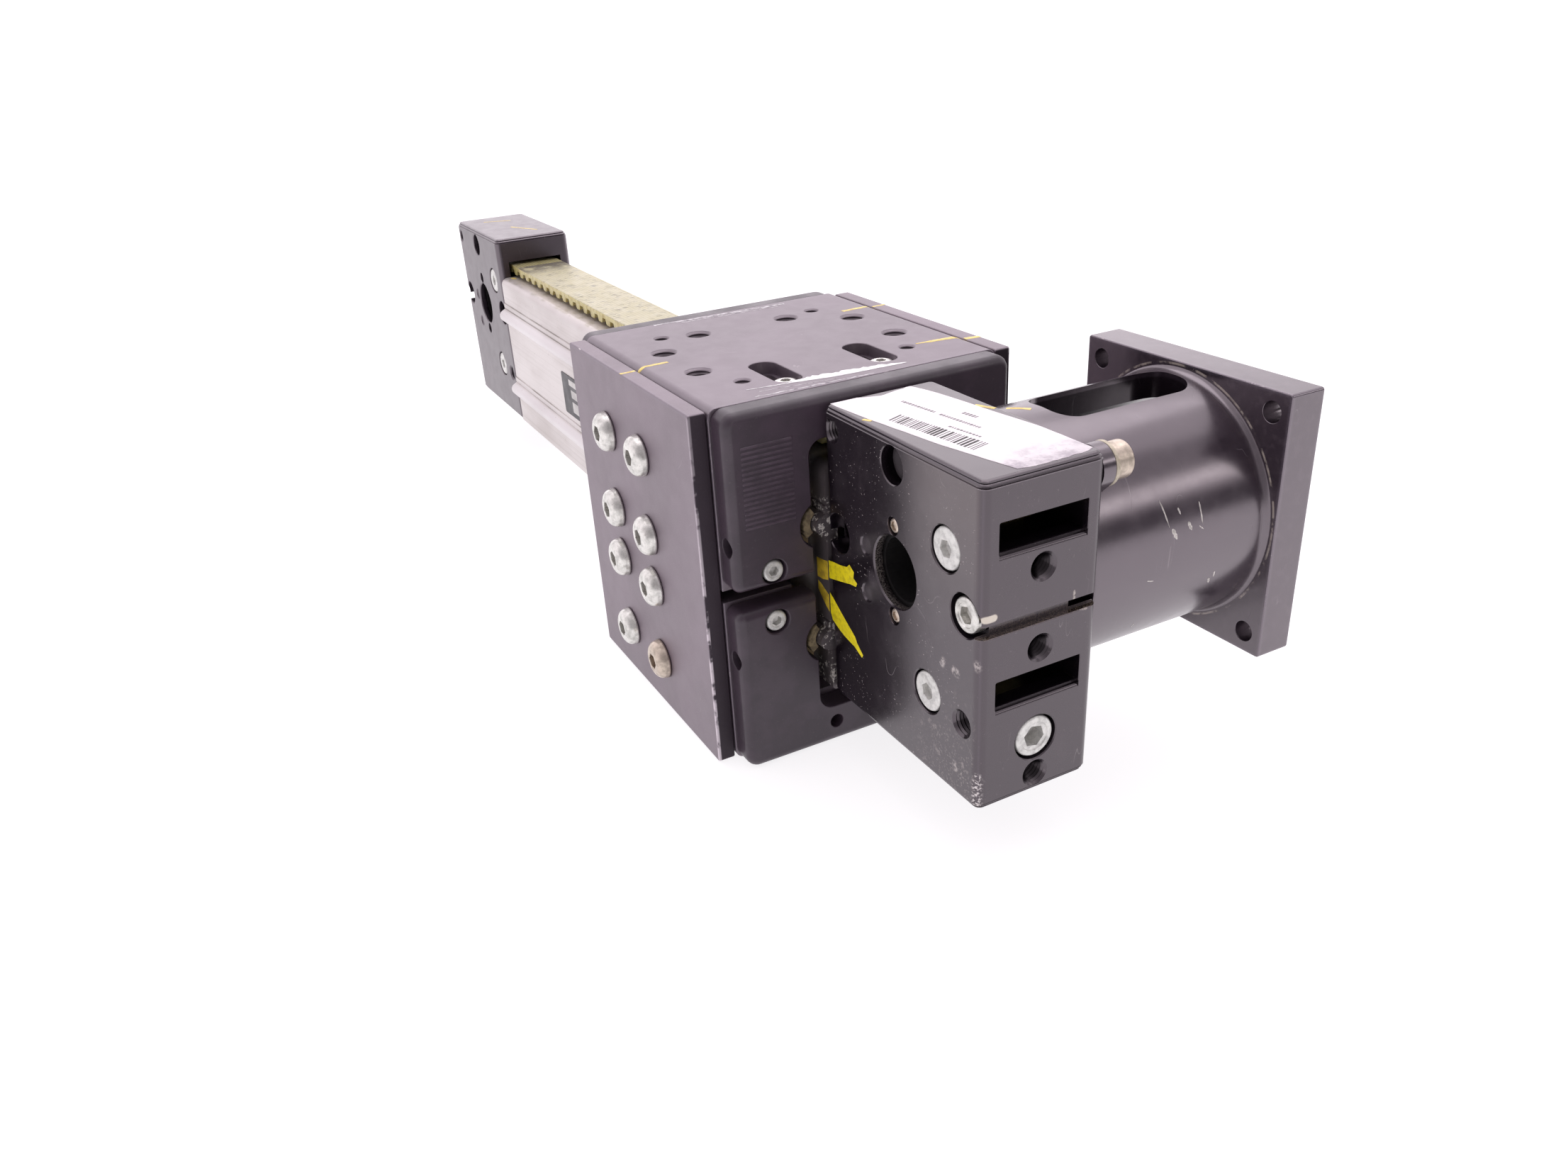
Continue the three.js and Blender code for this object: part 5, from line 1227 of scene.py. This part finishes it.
LOWER = [(-14.5, -21.2), (0.2, -19.1), (14.9, -16.4), (40.6, -15.2)]
THICK = [(-14.5, 0.35), (-1.0, 0.6), (4.0, 2.6), (11.3, 4.9), (21.7, 4.6), (31.8, 3.4), (40.6, 0.6)]
near_edge, far_edge = [], []
for i in range(45):
    y = -14.5 + 55.1 * i / 44
    x = along_y(LOWER, y)
    t = along_y(THICK, y)
    near_edge.append((x + wr.uniform(-0.12, 0.12), y))
    far_edge.append((x - t * wr.uniform(0.72, 1.08), y + wr.uniform(-0.4, 0.4)))
rz = [flake("z", near_edge + far_edge[::-1], Z1 - 0.02, Z1 + 0.07, 0.04)]
piece("cart_label_residue", merged(rz), "cart", MAT["label"], angle=30, weighted=False)
thin = [
    stroke(line((-13.4, -15.5, Z1), (-11.9, 26.0, Z1), 30, 0.1, 22), (0, 0, 1), 0.6, None, None, None, 0.04, 0.25, seed=22),
    stroke(line((-17.6, -12.0, Z1), (-14.2, 14.0, Z1), 20, 0.2, 23), (0, 0, 1), 0.3, None, None, None, 0.04, 0.12, seed=23),
    stroke(line((-115.6, -6.0, Z1), (-113.2, 48.0, Z1), 30, 0.15, 24), (0, 0, 1), 1.2, None, None, None, 0.04, 0.4, seed=24),
    stroke(line((-112.6, 4.0, Z1), (-111.0, 44.0, Z1), 20, 0.15, 25), (0, 0, 1), 0.4, None, None, None, 0.04, 0.15, seed=25),
]
piece("cart_label_lines", merged(thin), "cart", MAT["residue"], angle=30, weighted=False)

# bare scuffs on the adapter tube: thin slivers on the round surface
AX, AZ, AR = 38.5, 59.5, 39.2
sc = []


def on_tube(y, deg):
    a = math.radians(deg)
    return (AX + AR * math.cos(a), y, AZ + AR * math.sin(a)), (math.cos(a), 0, math.sin(a))


for y, d0, d1, dy, w in ((66.0, 27, 15, 2.0, 0.5), (69.0, 14, 9, 1.5, 1.4), (72.0, 22, 19, 0.6, 0.6), (75.0, 15, 11, 1.2, 1.2), (80.0, 22, 12, 0.4, 0.5), (79.0, 12, 10, 1.6, 0.4), (86.0, -16, -19, 0.6, 0.9), (87.5, -13, -16, 0.3, 0.7), (60.0, -6, -7, 2.6, 0.4), (62.0, -32, -36, 0.2, 0.3)):
    pts, nr = [], []
    for i in range(7):
        t = i / 6
        p, n = on_tube(y + dy * t, d0 + (d1 - d0) * t)
        pts.append(p)
        nr.append(n)
    sc.append(stroke(pts, nr, [w * 0.3, w * 0.9, w, w * 0.7, w, w * 0.6, w * 0.2], None, None, None, 0.03, 0.08, seed=int(y)))
piece("adapter_scuffs", merged(sc), "base", MAT["scuff"], angle=30, weighted=False)

# ------------------------------------------------------------------------------------------------ stage
def floor():
    me = bpy.data.meshes.new("floor")
    s = 30.0
    me.from_pydata([(-s, -s, -0.0002), (s, -s, -0.0002), (s, s, -0.0002), (-s, s, -0.0002)], [], [(0, 1, 2, 3)])
    ob = bpy.data.objects.new("floor", me)
    scene.collection.objects.link(ob)
    m = bpy.data.materials.new("floor_white")
    m.use_nodes = True
    b = m.node_tree.nodes["Principled BSDF"]
    b.inputs["Base Color"].default_value = (0.36, 0.355, 0.36, 1)
    b.inputs["Roughness"].default_value = 0.9
    b.inputs["Specular IOR Level"].default_value = 0.0
    b.inputs["Emission Color"].default_value = (1.0, 0.985, 1.0, 1)
    b.inputs["Emission Strength"].default_value = 0.82
    me.materials.append(m)


floor()

w = bpy.data.worlds.new("world")
scene.world = w
w.use_nodes = True
nt = w.node_tree
bg = nt.nodes["Background"]
tc = nt.nodes.new("ShaderNodeTexCoord")


def wn(kind, op=None, **kw):
    n = nt.nodes.new(kind)
    if op:
        n.operation = op
    return n


def wdot(d):
    n = wn("ShaderNodeVectorMath", "DOT_PRODUCT")
    nt.links.new(tc.outputs["Generated"], n.inputs[0])
    n.inputs[1].default_value = Vector(d).normalized()
    return n.outputs["Value"]


def wstep(v, a, b, c, d):
    n = wn("ShaderNodeMapRange")
    n.interpolation_type = "SMOOTHSTEP"
    nt.links.new(v, n.inputs["Value"])
    for k, q in zip(("From Min", "From Max", "To Min", "To Max"), (a, b, c, d)):
        n.inputs[k].default_value = q
    return n.outputs[0]


def wmul(a, b):
    n = wn("ShaderNodeMath", "MULTIPLY")
    for i, v in enumerate((a, b)):
        if isinstance(v, bpy.types.NodeSocket):
            nt.links.new(v, n.inputs[i])
        else:
            n.inputs[i].default_value = v
    return n.outputs[0]


def wsub(a, b):
    n = wn("ShaderNodeMath", "SUBTRACT")
    n.inputs[0].default_value = a
    nt.links.new(b, n.inputs[1])
    return n.outputs[0]


# a pale room with a darker side behind the camera and a dark low wall to the right of the object
elev = wdot((0, 0, 1))
low = wstep(elev, 0.22, 0.34, 1.0, 0.0)
right_wall = wstep(wdot((0.74, 0.67, 0.0)), 0.72, 0.9, 0.0, 0.92)
band = wmul(low, right_wall)
gap = wmul(wmul(wstep(wdot((0.42, 0.67, 0.60)), 0.965, 0.99, 0.0, 1.0), 1.0), 0.55)
room = wstep(wdot((0.80, -0.45, 0.25)), 0.25, 0.95, 1.25, 0.45)
glow = wstep(wdot((-0.90, 0.36, 0.20)), 0.80, 0.97, 1.0, 1.5)
nt.links.new(wmul(wmul(room, glow), wmul(wsub(1.0, band), wsub(1.0, gap))), bg.inputs["Strength"])
bg.inputs["Color"].default_value = (1.0, 0.945, 0.985, 1)


def area(name, loc, target, size, power, color=(1, 1, 1), size_y=None):
    l = bpy.data.lights.new(name, "AREA")
    l.energy = power
    l.color = color
    l.shape = "RECTANGLE"
    l.size = size
    l.size_y = size_y or size
    o = bpy.data.objects.new(name, l)
    scene.collection.objects.link(o)
    o.location = loc
    o.rotation_mode = "QUATERNION"
    o.rotation_quaternion = (Vector(target) - Vector(loc)).to_track_quat("-Z", "Y")
    return o


area("key_overhead", (-0.25, 0.35, 1.35), (0.0, 0.0, 0.05), 1.3, 7, (1.0, 0.96, 0.99))
area("soft_side", (0.95, 0.75, 0.55), (0.2, 0.05, 0.06), 0.5, 0.5, (1.0, 0.97, 0.94), 0.16)

# ------------------------------------------------------------------------------------------------ camera
right = Vector((0.4712613, 0.8802472, -0.0554772))
down = Vector((0.3700411, -0.2544226, -0.893498))
fwd = Vector((-0.8006137, 0.4005422, -0.4456271))
cam_data = bpy.data.cameras.new("camera")
cam = bpy.data.objects.new("camera", cam_data)
scene.collection.objects.link(cam)
cam_data.sensor_fit = "HORIZONTAL"
cam_data.sensor_width = 36.0
cam_data.lens = 1697.4703 / 2212 * 36.0
cam_data.clip_start = 0.01
cam_data.clip_end = 100
rot = Matrix((right, -down, -fwd)).transposed().to_4x4()
cam.matrix_world = Matrix.Translation((Vector((303.0753, -167.9774, 211.642)) + SH) * 0.001) @ rot
scene.camera = cam

scene.view_settings.view_transform = "Standard"
scene.view_settings.look = "None"
scene.view_settings.exposure = 0.0
scene.view_settings.gamma = 1.0
